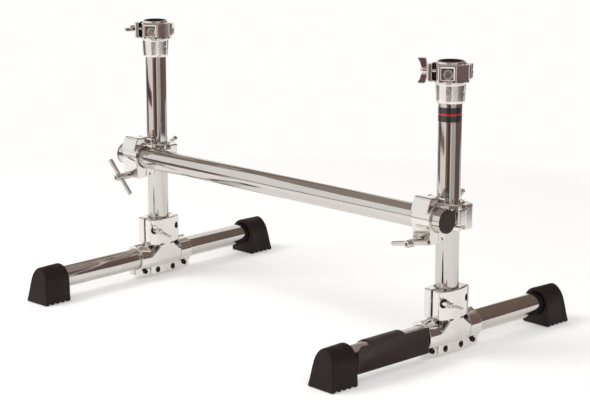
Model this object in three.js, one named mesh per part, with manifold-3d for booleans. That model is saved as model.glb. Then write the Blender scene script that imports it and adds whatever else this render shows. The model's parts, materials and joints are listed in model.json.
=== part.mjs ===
import * as THREE from 'three';
import Module from 'manifold-3d';
import { mergeVertices } from 'three/addons/utils/BufferGeometryUtils.js';

// A drum rack frame: two short stands, each an upright on a foot tube, joined by one cross bar.
// Sizes are in millimetres. Each stand is drawn about its own upright: x runs along the cross bar,
// y along the foot tube towards the back, and z up from the floor.

const wasm = await Module();
wasm.setup();

// Driving sizes of the whole rack
const uprightSpacing = 691.5;
const uprightLength = 375.7;
const footTubeHeight = 37.54;
const footSpan = 560;
const barHeight = 229.6;
const barSetback = 44;
const barLeftOverhang = 37;
const barRightOverhang = 33.5;

// Tube stock and the gaps between pieces
const tubeRadius = 19.05;
const tubeWall = 1.6;
const runningGap = 0.2;
const seatGap = 0.3;
const overrun = 5;
const weldDistance = 1e-3;
const tubeSides = 24;
const smallSides = 12;
const quarterTurn = 90;
const halfTurn = 180;

// What differs from one stand to the other
const stands = {
    left: {
        side: -1, footShift: -9.35, baseTurn: 0, wingTurn: -34, topWingTurn: 90,
        barHandleTurn: -46, postHandleTurn: 34,
    },
    right: {
        side: 1, footShift: -0.6, baseTurn: -2.94, wingTurn: -21, topWingTurn: 0,
        barHandleTurn: 11, postHandleTurn: 50,
    },
};
const topClampTurn = 32;

const foot = {
    length: 55.3,
    halfWidth: 27.8,
    archRadius: 26.3,
    endWall: 4,
    edge: 2.5,
    teeth: 5,
    grooveDepth: 3.4,
    grooveMouth: 5.4,
    grooveFloor: 2.8,
};

// Heights of the base clamp, its bolts, the memory locks and the name plate are taken from the foot
// tube's axis. The base clamp's two halves meet across a slit under the upright and bow out in the
// middle.
const baseClamp = {
    slit: 3.7,
    halfDepth: 35,
    edgeThickness: 16.5,
    crownThickness: 23.8,
    topRise: 72.46,
    shoulderRise: 24.46,
    waistRise: 23.06,
    waistHalfDepth: 13,
    flareRise: 6.46,
    footDrop: 32.54,
    flangeThickness: 17.5,
    wrapRadius: 24,
    corner: 3,
    boltBottom: -12,
};

const baseWing = {
    across: -26.6,
    rise: 52.46,
    shankRadius: 3,
    recessRadius: 7,
    recessFloor: 13.5,
    barrelRadius: 4.5,
    barrelEnd: 38,
    endHoleRadius: 2,
    endHoleDepth: 4,
    rootLow: 11.5,
    rootHigh: 22,
    tipLow: 21,
    tipHigh: 32.5,
    reach: 21.5,
    thickness: 5,
    corner: 2.4,
};

const hexScrew = {
    across: 26.6,
    rise: 52.96,
    shankRadius: 3,
    pocketRadius: 6.1,
    pocketFloor: 12,
    headRadius: 5.6,
    headTop: 15.2,
};

const lowerBolt = {
    across: 18.4,
    drop: 24.24,
    shankRadius: 2.5,
    sinkRadius: 4.7,
    sinkFloor: 14,
    headRadius: 4.2,
    headTop: 17.3,
};

const lock = {
    length: 25.4,
    ringRadius: 24.5,
    nubRadius: 4,
    nubRise: 22.66,
    lugHalfWidth: 15,
    lugDrop: 31.54,
    slit: 2,
    boltDrop: 23.04,
    shankRadius: 2.5,
    shankBottom: -11,
    headRadius: 4.2,
    headThickness: 2.8,
};

// Both rings of a rack clamp share one section, but for the place of the hinge. It is drawn in u, v
// and w: u points from the tube's axis to the cap, v to the closing lugs, and w along the tube.
const ring = {
    outerRadius: 25,
    split: 0.6,
    lugReach: 37.5,
    lugRoot: 11,
    capSeat: 20.5,
    bodyLugNear: -2,
    bodyLugFar: -21,
    bodyLugTaper: 8,
    bodyLugInset: 1.5,
    slotRoot: 26.2,
    pivotBack: -10,
    pivotReach: 32,
    eyeRadius: 5,
    eyeHalfWidth: 3.9,
    pivotPinRadius: 2,
    pivotPinInset: 0.6,
    boltRadius: 3,
    boltEnd: 41,
    knuckleRadius: 5,
    hingePinRadius: 1.8,
    pinRise: 2.5,
    armFront: 12,
    armRoot: -22,
    armTop: -30,
    webNear: -9,
    webFar: -24,
    webRoot: -12,
    crownBackTop: 34.5,
    crownFrontTop: 37,
    crownFront: 17.5,
    faceFoot: 28,
    faceDrop: 12,
    crownEdge: 3,
    rimWidth: 2.5,
};
const barRing = {
    halfLength: 18.3,
    knuckleLow: -11,
    knuckleHigh: 2.7,
    hingeBack: -18,
    hingeReach: -28,
};
const postRing = {
    halfLength: 21.5,
    knuckleLow: -12.5,
    knuckleHigh: 13,
    hingeBack: -12,
    hingeReach: -31,
};

const tHandle = {
    length: 36.2,
    barrelRadius: 6.15,
    noseRadius: 4.6,
    noseLength: 4,
    endEdge: 1.2,
    rodPlace: 25.5,
    rodRadius: 4,
    rodLength: 77,
    rodEdge: 1.2,
};

const keyBolt = {
    along: 9,
    back: -23.5,
    collarRadius: 4.65,
    collarHeight: 8.2,
    squareHalf: 2.6,
    squareHeight: 2.8,
    shankRadius: 2.2,
    shankDepth: 2.4,
};

// The top clamp is drawn with its flat face to the front and its ear plate to the left
const topClamp = {
    sleeveDrop: 30,
    sleeveFootRadius: 20.9,
    sleeveRound: 3,
    sleeveRoundRadius: 23.2,
    headGap: 3,
    headRadius: 25,
    headHeight: 29,
    rimRadius: 22.5,
    rimHeight: 3,
    faceDistance: 25.5,
    faceLeft: -16,
    faceRight: 11.5,
    facetDepth: 15,
    facetRight: 23,
    bossReach: 34,
    bossNeck: 30,
    bossHalfDepth: 9,
    bossTaper: 6,
    earNear: -28,
    earFar: -36,
    earFront: -11,
    earBack: 14,
    slotNear: -21.5,
    slotBack: 7,
    webThickness: 3,
    corner: 2,
};

// Heights of the top clamp's parts, which stand on the upright's upper end
const uprightFoot = footTubeHeight + baseClamp.shoulderRise + seatGap;
const uprightTop = uprightFoot + uprightLength;
const headFoot = uprightTop + topClamp.headGap;
const headTop = headFoot + topClamp.headHeight;
const rimTop = headTop + topClamp.rimHeight;

const topWing = {
    heightInHead: 16.5,
    shankRadius: 3,
    tipPlace: -19.6,
    hubRadius: 6,
    hubLength: 9,
    endRadius: 4.6,
    endLength: 2.5,
    rootLow: 1.2,
    rootHigh: 8.6,
    tipLow: 6.4,
    tipHigh: 16.4,
    reach: 20.5,
    thickness: 5.4,
    corner: 2.2,
};

const frontNut = {
    heightInHead: 14,
    radius: 5.2,
    sinkRadius: 6.6,
    sinkDepth: 2.6,
    proud: 1,
};

const bushing = {
    radius: 18.85,
    wall: 2.6,
    flangeRadius: 21,
    flangeThickness: 1.2,
};

const endCap = {
    thickness: 3.2,
    plugLength: 10,
    plugWall: 2,
    edge: 0.8,
};

const namePlate = {
    frontGap: 4.8,
    backGap: 1.2,
    footDrop: 21.54,
    topRise: 21.46,
    thickness: 3,
    corner: 8,
    smallCorner: 1.2,
    clipFrontInset: 28.5,
    clipBackInset: 36.1,
    clipSlant: 10,
    clipThickness: 2.6,
    clipWrap: 205,
    clipSteps: 12,
};

const chrome = { color: 0xd9d5cf, roughness: 0.12, metalness: 1 };
const castChrome = { color: 0xd2cdc7, roughness: 0.2, metalness: 1 };
const plainSteel = { color: 0xb9b3ac, roughness: 0.3, metalness: 1 };
const blackRubber = { color: 0x35302f, roughness: 0.8, metalness: 0 };
const blackPlastic = { color: 0x322d2d, roughness: 0.5, metalness: 0 };

// Outlines

/** Points along an arc about a centre, from one angle to another in degrees. */
function arc(radius, from, to, steps, [a, b] = [0, 0]) {
    return Array.from({ length: steps + 1 }, (_, index) => {
        const angle = THREE.MathUtils.degToRad(from + (to - from) * index / steps);
        return [a + radius * Math.cos(angle), b + radius * Math.sin(angle)];
    });
}

function circle(radius, sides, centre) {
    return arc(radius, 0, 360, sides, centre).slice(0, -1);
}

function rectangle([lowA, lowB], [highA, highB]) {
    return [[lowA, lowB], [highA, lowB], [highA, highB], [lowA, highB]];
}

/** The same outline with each corner rounded by a short curve. */
function rounded(points, radius) {
    return points.flatMap(([a, b], index) => {
        const corner = new THREE.Vector2(a, b);
        const before = new THREE.Vector2(...points.at(index - 1));
        const after = new THREE.Vector2(...points[(index + 1) % points.length]);
        const start = corner.clone().add(before.sub(corner).setLength(radius));
        const end = corner.clone().add(after.sub(corner).setLength(radius));
        const curve = new THREE.QuadraticBezierCurve(start, corner, end);
        return curve.getPoints(2).map((point) => [point.x, point.y]);
    });
}

// Solids

const frames = {
    x: new THREE.Matrix4().makeBasis(
        new THREE.Vector3(0, 1, 0), new THREE.Vector3(0, 0, 1), new THREE.Vector3(1, 0, 0)),
    y: new THREE.Matrix4().makeBasis(
        new THREE.Vector3(1, 0, 0), new THREE.Vector3(0, 0, 1), new THREE.Vector3(0, -1, 0)),
    z: new THREE.Matrix4(),
};

/**
 * A straight bar of an outline, from low to high along an axis. The outline lies in y and z for a
 * bar along x, in x and z for one along y, and in x and y for one along z. An edge rounds both ends.
 */
function prism(points, axis, low, high, edge = 0) {
    const shape = new THREE.Shape(points.map(([a, b]) => new THREE.Vector2(a, b)));
    const geometry = new THREE.ExtrudeGeometry(shape, {
        depth: high - low - 2 * edge,
        bevelEnabled: edge > 0,
        bevelThickness: edge,
        bevelSize: edge,
        bevelOffset: -edge,
        bevelSegments: 2,
    });
    geometry.applyMatrix4(frames[axis]);
    const start = axis === 'y' ? high - edge : low + edge;
    const shift = new THREE.Vector3();
    shift[axis] = start;
    return geometry.translate(shift.x, shift.y, shift.z);
}

function rod(radius, axis, low, high, centre = [0, 0], sides = smallSides) {
    return prism(circle(radius, sides, centre), axis, low, high);
}

/** A hole that clears a rod of the same sides by a gap on its flats. */
function hole(radius, gap, axis, low, high, centre = [0, 0], sides = smallSides) {
    return rod((radius + gap) / Math.cos(Math.PI / sides), axis, low, high, centre, sides);
}

function tubeBore(axis, low, high, centre) {
    return hole(tubeRadius, runningGap, axis, low, high, centre, tubeSides);
}

/** A body turned about z. Its profile runs up from the axis and back to it. */
function turned(profile, sides = smallSides) {
    const points = profile.map(([radius, height]) => new THREE.Vector2(radius, height));
    return new THREE.LatheGeometry(points, sides).rotateX(Math.PI / 2);
}

function solid(item) {
    if (!item.isBufferGeometry) {
        return item;
    }
    const bare = item.clone();
    bare.deleteAttribute('normal');
    bare.deleteAttribute('uv');
    const merged = mergeVertices(bare, weldDistance);
    return new wasm.Manifold(new wasm.Mesh({
        numProp: 3,
        vertProperties: new Float32Array(merged.attributes.position.array),
        triVerts: new Uint32Array(merged.index.array),
    }));
}

function join(...items) {
    return items.map(solid).reduce((whole, item) => whole.add(item));
}

function cut(base, ...tools) {
    return tools.map(solid).reduce((whole, tool) => whole.subtract(tool), solid(base));
}

function keep(base, region) {
    return solid(base).intersect(solid(region));
}

/** The geometry of a joined or cut solid. */
function shaped(body) {
    const mesh = body.getMesh();
    const geometry = new THREE.BufferGeometry();
    geometry.setAttribute('position', new THREE.BufferAttribute(new Float32Array(mesh.vertProperties), 3));
    geometry.setIndex(new THREE.BufferAttribute(new Uint32Array(mesh.triVerts), 1));
    geometry.computeVertexNormals();
    return geometry;
}

function piece(name, form, finish) {
    const geometry = form.isBufferGeometry ? form : shaped(form);
    const mesh = new THREE.Mesh(geometry, new THREE.MeshStandardMaterial(finish));
    mesh.name = name;
    return mesh;
}

function group(...items) {
    return new THREE.Group().add(...items);
}

/** Places an item so that its z points forward and its x across. */
function aimed(item, position, forward, across) {
    const ahead = new THREE.Vector3(...forward);
    const side = new THREE.Vector3(...across);
    const third = new THREE.Vector3().crossVectors(ahead, side);
    item.quaternion.setFromRotationMatrix(new THREE.Matrix4().makeBasis(side, third, ahead));
    item.position.set(...position);
    return item;
}

/** A direction across the y axis, turned in degrees from x towards z. */
function acrossY(turn) {
    const angle = THREE.MathUtils.degToRad(turn);
    return [Math.cos(angle), 0, Math.sin(angle)];
}

/** A direction across the x axis, turned in degrees from y towards z. */
function acrossX(turn) {
    const angle = THREE.MathUtils.degToRad(turn);
    return [0, Math.cos(angle), Math.sin(angle)];
}

// Tubes

function tube(axis, low, high) {
    const outer = rod(tubeRadius, axis, low, high, [0, 0], tubeSides);
    const inner = rod(tubeRadius - tubeWall, axis, low - overrun, high + overrun, [0, 0], tubeSides);
    return cut(outer, inner);
}

// Feet

/** A rubber foot, open at y = 0 where the tube enters, with its closed end towards +y. */
function rubberFoot() {
    const arch = arc(foot.archRadius, 0, halfTurn, smallSides, [0, footTubeHeight]);
    const outline = [[foot.halfWidth, 0], ...arch, [-foot.halfWidth, 0]];
    const block = prism(outline, 'y', 0, foot.length, foot.edge);
    const socket = tubeBore('y', -overrun, foot.length - foot.endWall, [0, footTubeHeight]);
    const pitch = foot.length / foot.teeth;
    const grooves = Array.from({ length: foot.teeth - 1 }, (_, index) => {
        const place = pitch * (index + 1);
        const section = [
            [place - foot.grooveMouth / 2, -overrun],
            [place + foot.grooveMouth / 2, -overrun],
            [place + foot.grooveMouth / 2, 0],
            [place + foot.grooveFloor / 2, foot.grooveDepth],
            [place - foot.grooveFloor / 2, foot.grooveDepth],
            [place - foot.grooveMouth / 2, 0],
        ];
        return prism(section, 'x', -foot.halfWidth - overrun, foot.halfWidth + overrun);
    });
    return cut(block, socket, ...grooves);
}

// Base clamp

function baseClampBlank() {
    const clamp = baseClamp;
    const side = rounded([
        [-clamp.halfDepth, -clamp.footDrop],
        [clamp.halfDepth, -clamp.footDrop],
        [clamp.halfDepth, clamp.flareRise],
        [clamp.waistHalfDepth, clamp.waistRise],
        [clamp.halfDepth, clamp.shoulderRise],
        [clamp.halfDepth, clamp.topRise],
        [-clamp.halfDepth, clamp.topRise],
        [-clamp.halfDepth, clamp.shoulderRise],
        [-clamp.waistHalfDepth, clamp.waistRise],
        [-clamp.halfDepth, clamp.flareRise],
    ], clamp.corner);
    const slab = prism(side, 'x', clamp.slit / 2, clamp.wrapRadius + overrun);
    const rise = clamp.crownThickness - clamp.edgeThickness;
    const bow = (clamp.halfDepth ** 2 + rise ** 2) / (2 * rise);
    const bowAngle = THREE.MathUtils.radToDeg(Math.asin(clamp.halfDepth / bow));
    const plan = [
        [0, -clamp.halfDepth],
        ...arc(bow, -bowAngle, bowAngle, smallSides, [clamp.crownThickness - bow, 0]),
        [0, clamp.halfDepth],
    ];
    const upper = prism(plan, 'z', clamp.waistRise, clamp.topRise + overrun);
    const wrapAngle = THREE.MathUtils.radToDeg(Math.acos(clamp.flangeThickness / clamp.wrapRadius));
    const section = [
        [0, -clamp.footDrop],
        [clamp.flangeThickness, -clamp.footDrop],
        ...arc(clamp.wrapRadius, -wrapAngle, 0, smallSides / 2, [0, 0]),
        [clamp.wrapRadius, clamp.waistRise],
        [0, clamp.waistRise],
    ];
    const lower = prism(section, 'y', -clamp.halfDepth, clamp.halfDepth);
    return shaped(keep(slab, join(upper, lower)));
}

/** One half of the base clamp, on the +x side for turn 0 and on the -x side for a half turn. */
function baseClampHalf(turn) {
    const outside = baseClamp.wrapRadius + overrun;
    const bottom = baseClamp.boltBottom - seatGap;
    const hexHole = circle(hexScrew.pocketRadius, 6, [0, 0]).map(([a, b]) => [
        hexScrew.across + b,
        hexScrew.rise + a,
    ]);
    const blank = baseClampBlank().rotateZ(THREE.MathUtils.degToRad(turn));
    const wingPlace = [baseWing.across, baseWing.rise];
    const lowerTools = [-1, 1].flatMap((end) => {
        const place = [end * lowerBolt.across, -lowerBolt.drop];
        return [
            hole(lowerBolt.shankRadius, seatGap, 'x', bottom, outside, place),
            rod(lowerBolt.sinkRadius, 'x', lowerBolt.sinkFloor, outside, place),
        ];
    });
    return cut(
        blank,
        tubeBore('z', baseClamp.shoulderRise, baseClamp.topRise + overrun, [0, 0]),
        tubeBore('y', -baseClamp.halfDepth - overrun, baseClamp.halfDepth + overrun, [0, 0]),
        hole(baseWing.shankRadius, seatGap, 'x', bottom, outside, wingPlace),
        rod(baseWing.recessRadius, 'x', baseWing.recessFloor, outside, wingPlace),
        hole(hexScrew.shankRadius, seatGap, 'x', bottom, outside, [hexScrew.across, hexScrew.rise]),
        prism(hexHole, 'x', hexScrew.pocketFloor, outside),
        ...lowerTools,
    );
}

/** A bolt along x: a shank from its bottom to its seat, and a head of the given outline. */
function headedBolt(shankRadius, bottom, seat, headTop, headOutline) {
    const shank = rod(shankRadius, 'x', bottom, (seat + headTop) / 2);
    return join(shank, prism(headOutline, 'x', seat + seatGap, headTop));
}

/** A cast wing across a bolt's axis, with both arms swept away from the seat. */
function wingPlate(sizes, coreRadius) {
    const half = [
        [coreRadius, sizes.rootLow],
        [sizes.reach, sizes.tipLow],
        [sizes.reach, sizes.tipHigh],
        [coreRadius, sizes.rootHigh],
    ];
    const outline = rounded([...half, ...half.map(([a, b]) => [-a, b]).reverse()], sizes.corner);
    return prism(outline, 'y', -sizes.thickness / 2, sizes.thickness / 2);
}

/** The base clamp's wing bolt, seated at z = 0 and pointing up z. */
function baseWingBolt() {
    const wing = baseWing;
    const length = wing.barrelEnd - wing.recessFloor - seatGap;
    const depth = wing.recessFloor - baseClamp.boltBottom + seatGap;
    const body = join(
        rod(wing.shankRadius, 'z', -depth, wing.corner),
        rod(wing.barrelRadius, 'z', 0, length),
        wingPlate(wing, wing.barrelRadius),
    );
    return cut(body, rod(wing.endHoleRadius, 'z', length - wing.endHoleDepth, length + overrun));
}

// Memory locks

function lockRing() {
    const ringBody = rod(lock.ringRadius, 'y', 0, lock.length, [0, 0], tubeSides);
    const nub = rod(lock.nubRadius, 'y', 0, lock.length, [0, lock.nubRise]);
    const lug = prism(
        rectangle([-lock.lugHalfWidth, -lock.lugDrop], [lock.lugHalfWidth, 0]),
        'y', 0, lock.length);
    const slit = prism(
        rectangle([-lock.slit / 2, -lock.lugDrop - overrun], [lock.slit / 2, 0]),
        'y', -overrun, lock.length + overrun);
    const boltHole = hole(
        lock.shankRadius, seatGap, 'x', lock.shankBottom - seatGap, lock.lugHalfWidth + overrun,
        [lock.length / 2, -lock.boltDrop]);
    const bore = tubeBore('y', -overrun, lock.length + overrun, [0, 0]);
    return cut(join(ringBody, nub, lug), slit, boltHole, bore);
}

function lockBolt() {
    return headedBolt(
        lock.shankRadius, lock.shankBottom, lock.lugHalfWidth,
        lock.lugHalfWidth + seatGap + lock.headThickness, circle(lock.headRadius, smallSides));
}

// Rack clamp rings, drawn in u, v and w

/** Half of the ring's disc, on the cap's side for side 1 and on the body's side for side -1. */
function halfDisc(side, halfLength) {
    const lean = THREE.MathUtils.radToDeg(Math.asin(ring.split / 2 / ring.outerRadius));
    const middle = side > 0 ? 0 : halfTurn;
    const sweep = quarterTurn - lean;
    const outline = arc(ring.outerRadius, middle - sweep, middle + sweep, smallSides);
    return prism(outline, 'z', -halfLength, halfLength);
}

function boltSlot() {
    const halfWidth = ring.eyeHalfWidth + seatGap;
    const farBack = ring.pivotBack - ring.eyeRadius - seatGap;
    return prism(
        rectangle([farBack, ring.slotRoot], [ring.capSeat + overrun, ring.lugReach + overrun]),
        'z', -halfWidth, halfWidth);
}

function hingeHole({ halfLength, hingeBack, hingeReach }) {
    return hole(
        ring.hingePinRadius, seatGap, 'z', -halfLength - overrun, halfLength + overrun,
        [hingeBack, hingeReach]);
}

function ringBore({ halfLength }) {
    return tubeBore('z', -halfLength - overrun, halfLength + overrun, [0, 0]);
}

/** The fixed half of a ring: half disc, two cheeks for the swing bolt and two hinge knuckles. */
function ringBodyHalf({ halfLength, knuckleLow, knuckleHigh, hingeBack, hingeReach }) {
    const lugHalf = halfLength - ring.bodyLugInset;
    const lug = prism([
        [ring.bodyLugNear, ring.lugRoot],
        [ring.bodyLugNear, ring.lugReach],
        [ring.bodyLugFar + ring.bodyLugTaper, ring.lugReach],
        [ring.bodyLugFar, ring.lugReach - ring.bodyLugTaper],
        [ring.bodyLugFar, ring.lugRoot],
    ], 'z', -lugHalf, lugHalf);
    const web = [
        [hingeBack - ring.knuckleRadius, hingeReach],
        [hingeBack + ring.knuckleRadius, hingeReach],
        [ring.webNear, ring.webRoot],
        [ring.webFar, ring.webRoot],
    ];
    const knuckleSpans = [
        [-halfLength, knuckleLow - seatGap],
        [knuckleHigh + seatGap, halfLength],
    ];
    const knuckles = knuckleSpans.flatMap(([low, high]) => [
        rod(ring.knuckleRadius, 'z', low, high, [hingeBack, hingeReach]),
        prism(web, 'z', low, high),
    ]);
    return join(halfDisc(-1, halfLength), lug, ...knuckles);
}

/** What the fixed half of a ring is cut by, after the two halves are joined to their block. */
function ringBodyCuts(size) {
    const pinHalf = size.halfLength + overrun;
    return [
        ringBore(size),
        boltSlot(),
        hingeHole(size),
        hole(
            ring.pivotPinRadius, seatGap, 'z', -pinHalf, pinHalf,
            [ring.pivotBack, ring.pivotReach]),
    ];
}

/** The hinged cap of a ring, with its closing lug, hinge arm, middle knuckle and square crown. */
function ringCap(size) {
    const { halfLength, knuckleLow, knuckleHigh, hingeBack, hingeReach } = size;
    const near = ring.split / 2;
    const lug = prism([
        [near, ring.lugRoot],
        [ring.outerRadius * Math.cos(Math.asin(ring.lugRoot / ring.outerRadius)), ring.lugRoot],
        [ring.capSeat, ring.slotRoot],
        [ring.capSeat, ring.lugReach],
        [near, ring.lugReach],
    ], 'z', -halfLength, halfLength);
    const clear = -ring.outerRadius - seatGap - near;
    const arm = prism([
        [hingeBack, hingeReach - ring.knuckleRadius],
        [near, hingeReach - ring.knuckleRadius],
        [ring.armFront, ring.armTop],
        [ring.armFront, ring.armRoot],
        [near, ring.armRoot],
        [near, clear],
        [hingeBack + ring.knuckleRadius, clear],
        [hingeBack, hingeReach],
    ], 'z', knuckleLow, knuckleHigh);
    const knuckle = rod(
        ring.knuckleRadius, 'z', knuckleLow, knuckleHigh, [hingeBack, hingeReach]);
    const crown = prism(rounded([
        [-overrun, -ring.crownBackTop],
        [ring.crownFront, -ring.crownFrontTop],
        [ring.faceFoot, -ring.faceDrop],
        [-overrun, -ring.faceDrop],
    ], ring.crownEdge), 'z', -halfLength, halfLength - ring.rimWidth);
    const crownRoom = prism(
        rectangle([near, -ring.crownFrontTop - overrun], [ring.faceFoot + overrun, 0]),
        'z', -halfLength, halfLength);
    return cut(
        join(halfDisc(1, halfLength), lug, arm, knuckle, keep(crown, crownRoom)),
        ringBore(size), boltSlot(), hingeHole(size));
}

function hingePin({ halfLength, hingeBack, hingeReach }) {
    const half = halfLength - seatGap;
    return rod(ring.hingePinRadius, 'z', -half, half + ring.pinRise, [hingeBack, hingeReach]);
}

/** The swing bolt: an eye with its cross pin, and a shank out through the cap's slot. */
function swingBolt({ halfLength }) {
    const place = [ring.pivotBack, ring.pivotReach];
    const pinHalf = halfLength - ring.bodyLugInset - ring.pivotPinInset;
    const shank = rod(ring.boltRadius, 'z', 0, ring.boltEnd - ring.pivotBack);
    aimedGeometry(shank, [ring.pivotBack, ring.pivotReach, 0]);
    return join(
        rod(ring.eyeRadius, 'z', -ring.eyeHalfWidth, ring.eyeHalfWidth, place),
        rod(ring.pivotPinRadius, 'z', -pinHalf, pinHalf, place),
        shank,
    );
}

/** Turns a geometry's z towards u and moves it to a place. */
function aimedGeometry(geometry, place) {
    return geometry.rotateY(Math.PI / 2).translate(...place);
}

/** A barrel nut with a cross rod, seated at z = 0 and pointing up z, with the rod along x. */
function crossHandle() {
    const handle = tHandle;
    const barrel = turned([
        [0, 0],
        [handle.noseRadius, 0],
        [handle.barrelRadius, handle.noseLength],
        [handle.barrelRadius, handle.length - handle.endEdge],
        [handle.barrelRadius - handle.endEdge, handle.length],
        [0, handle.length],
    ], tubeSides);
    const half = handle.rodLength / 2;
    const bar = turned([
        [0, -half],
        [handle.rodRadius - handle.rodEdge, -half],
        [handle.rodRadius, handle.rodEdge - half],
        [handle.rodRadius, half - handle.rodEdge],
        [handle.rodRadius - handle.rodEdge, half],
        [0, half],
    ]).rotateY(Math.PI / 2).translate(0, 0, handle.rodPlace);
    const boltLength = ring.boltEnd - ring.capSeat - seatGap;
    const thread = hole(ring.boltRadius, seatGap, 'z', -overrun, boltLength + seatGap);
    return cut(join(barrel, bar), thread);
}

function keyBoltForm() {
    const key = keyBolt;
    const top = key.collarHeight + key.squareHeight;
    return join(
        rod(key.shankRadius, 'z', -key.shankDepth - seatGap, key.squareHalf),
        rod(key.collarRadius, 'z', 0, key.collarHeight),
        prism(
            rectangle([-key.squareHalf, -key.squareHalf], [key.squareHalf, key.squareHalf]),
            'z', key.squareHalf, top),
    );
}

const barRingFrame = new THREE.Matrix4()
    .makeBasis(new THREE.Vector3(0, -1, 0), new THREE.Vector3(0, 0, -1), new THREE.Vector3(1, 0, 0))
    .setPosition(0, -barSetback, 0);
const postRingFrame = new THREE.Matrix4()
    .makeBasis(new THREE.Vector3(0, 1, 0), new THREE.Vector3(-1, 0, 0), new THREE.Vector3(0, 0, 1));

function inFrame(form, frame) {
    const geometry = form.isBufferGeometry ? form : shaped(form);
    return geometry.applyMatrix4(frame);
}

/** The rack clamp's body: a half ring for the bar and one for the upright on a common block. */
function rackClampBody() {
    const near = ring.split / 2;
    const block = prism(
        rectangle([-barRing.halfLength, near - barSetback], [barRing.halfLength, -near]),
        'z', -postRing.halfLength, postRing.halfLength);
    const halves = join(
        inFrame(ringBodyHalf(barRing), barRingFrame),
        inFrame(ringBodyHalf(postRing), postRingFrame),
        block,
    );
    const keyHole = hole(
        keyBolt.shankRadius, seatGap, 'z',
        ring.knuckleRadius - barRing.hingeReach - keyBolt.shankDepth - seatGap,
        ring.knuckleRadius - barRing.hingeReach + overrun,
        [keyBolt.along, keyBolt.back]);
    const barCuts = ringBodyCuts(barRing).map((tool) => inFrame(tool, barRingFrame));
    const postCuts = ringBodyCuts(postRing).map((tool) => inFrame(tool, postRingFrame));
    return cut(halves, ...barCuts, ...postCuts, keyHole);
}

function ringPieces(prefix, size, frame) {
    return [
        piece(`${prefix}_cap`, inFrame(ringCap(size), frame), castChrome),
        piece(`${prefix}_hinge_pin`, inFrame(hingePin(size), frame), plainSteel),
        piece(`${prefix}_swing_bolt`, inFrame(swingBolt(size), frame), plainSteel),
    ];
}

function rackClampPieces(name, stand) {
    const seat = ring.capSeat + seatGap;
    const barPlace = [0, -barSetback - seat, -ring.pivotReach];
    const postPlace = [-ring.pivotReach, seat, 0];
    const keyTop = ring.knuckleRadius - barRing.hingeReach + seatGap;
    const key = piece(`${name}_key_bolt`, keyBoltForm(), chrome);
    key.position.set(keyBolt.along, keyBolt.back, keyTop);
    return group(
        piece(`${name}_rack_clamp_body`, rackClampBody(), castChrome),
        ...ringPieces(`${name}_bar`, barRing, barRingFrame),
        ...ringPieces(`${name}_post`, postRing, postRingFrame),
        aimed(
            piece(`${name}_bar_t_handle`, crossHandle(), chrome),
            barPlace, [0, -1, 0], acrossY(stand.barHandleTurn)),
        aimed(
            piece(`${name}_post_t_handle`, crossHandle(), chrome),
            postPlace, [0, 1, 0], acrossY(stand.postHandleTurn)),
        key,
    );
}

// Top clamp

function topClampCasting() {
    const clamp = topClamp;
    const sleeveFoot = uprightTop - clamp.sleeveDrop;
    const sleeve = turned([
        [0, sleeveFoot],
        [clamp.sleeveFootRadius, sleeveFoot],
        [clamp.sleeveRoundRadius, sleeveFoot + clamp.sleeveRound],
        [clamp.headRadius, headFoot],
        [0, headFoot],
    ], tubeSides);
    const rim = rod(clamp.rimRadius, 'z', headFoot, rimTop, [0, 0], tubeSides);
    const drum = rod(clamp.headRadius, 'z', headFoot, headTop, [0, 0], tubeSides);
    const face = prism([
        [clamp.faceLeft, -clamp.faceDistance],
        [clamp.faceRight, -clamp.faceDistance],
        [clamp.facetRight, -clamp.facetDepth],
        [clamp.bossNeck, -clamp.bossHalfDepth],
        [clamp.bossNeck, clamp.bossHalfDepth],
        [0, clamp.headRadius],
        [clamp.slotNear, 0],
        [clamp.slotNear, -clamp.facetDepth],
    ], 'z', headFoot, headTop);
    const boss = prism(rounded([
        [clamp.bossNeck - clamp.corner, headFoot + clamp.bossTaper],
        [clamp.bossReach, headFoot + clamp.bossTaper],
        [clamp.bossReach, headTop],
        [clamp.bossNeck - clamp.corner, headTop],
    ], clamp.corner / 2), 'y', -clamp.bossHalfDepth, clamp.bossHalfDepth);
    const ear = prism(rounded(rectangle(
        [clamp.earFar, clamp.earFront],
        [clamp.earNear, clamp.earBack]), clamp.corner), 'z', headFoot, headTop);
    const bridge = prism(
        rectangle([clamp.earNear - clamp.corner, clamp.slotBack], [0, clamp.earBack]),
        'z', headFoot, headTop);
    const web = prism(
        rectangle([clamp.earNear - clamp.corner, clamp.earFront], [clamp.slotNear, clamp.earBack]),
        'z', headFoot, headFoot + clamp.webThickness);
    const slot = prism(
        rectangle([clamp.earNear, -clamp.headRadius - overrun], [clamp.slotNear, clamp.slotBack]),
        'z', headFoot + clamp.webThickness, headTop + overrun);
    const screwHole = hole(
        topWing.shankRadius, seatGap, 'x', clamp.earFar - overrun, 0, [0, headFoot + topWing.heightInHead]);
    const nutSink = rod(
        frontNut.sinkRadius, 'y', -clamp.faceDistance - overrun, frontNut.sinkDepth - clamp.faceDistance,
        [0, headFoot + frontNut.heightInHead]);
    const bore = tubeBore('z', sleeveFoot - overrun, rimTop + overrun, [0, 0]);
    return cut(
        join(cut(join(drum, face, ear, bridge, web), slot), sleeve, rim, boss),
        bore, screwHole, nutSink);
}

/** The top clamp's wing bolt, seated at z = 0 and pointing up z. */
function topWingBolt() {
    const wing = topWing;
    const depth = wing.tipPlace - topClamp.earFar + seatGap;
    return join(
        rod(wing.shankRadius, 'z', -depth, wing.hubLength / 2),
        rod(wing.hubRadius, 'z', 0, wing.hubLength),
        rod(wing.endRadius, 'z', wing.hubLength / 2, wing.hubLength + wing.endLength),
        wingPlate(wing, wing.hubRadius),
    );
}

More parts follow.
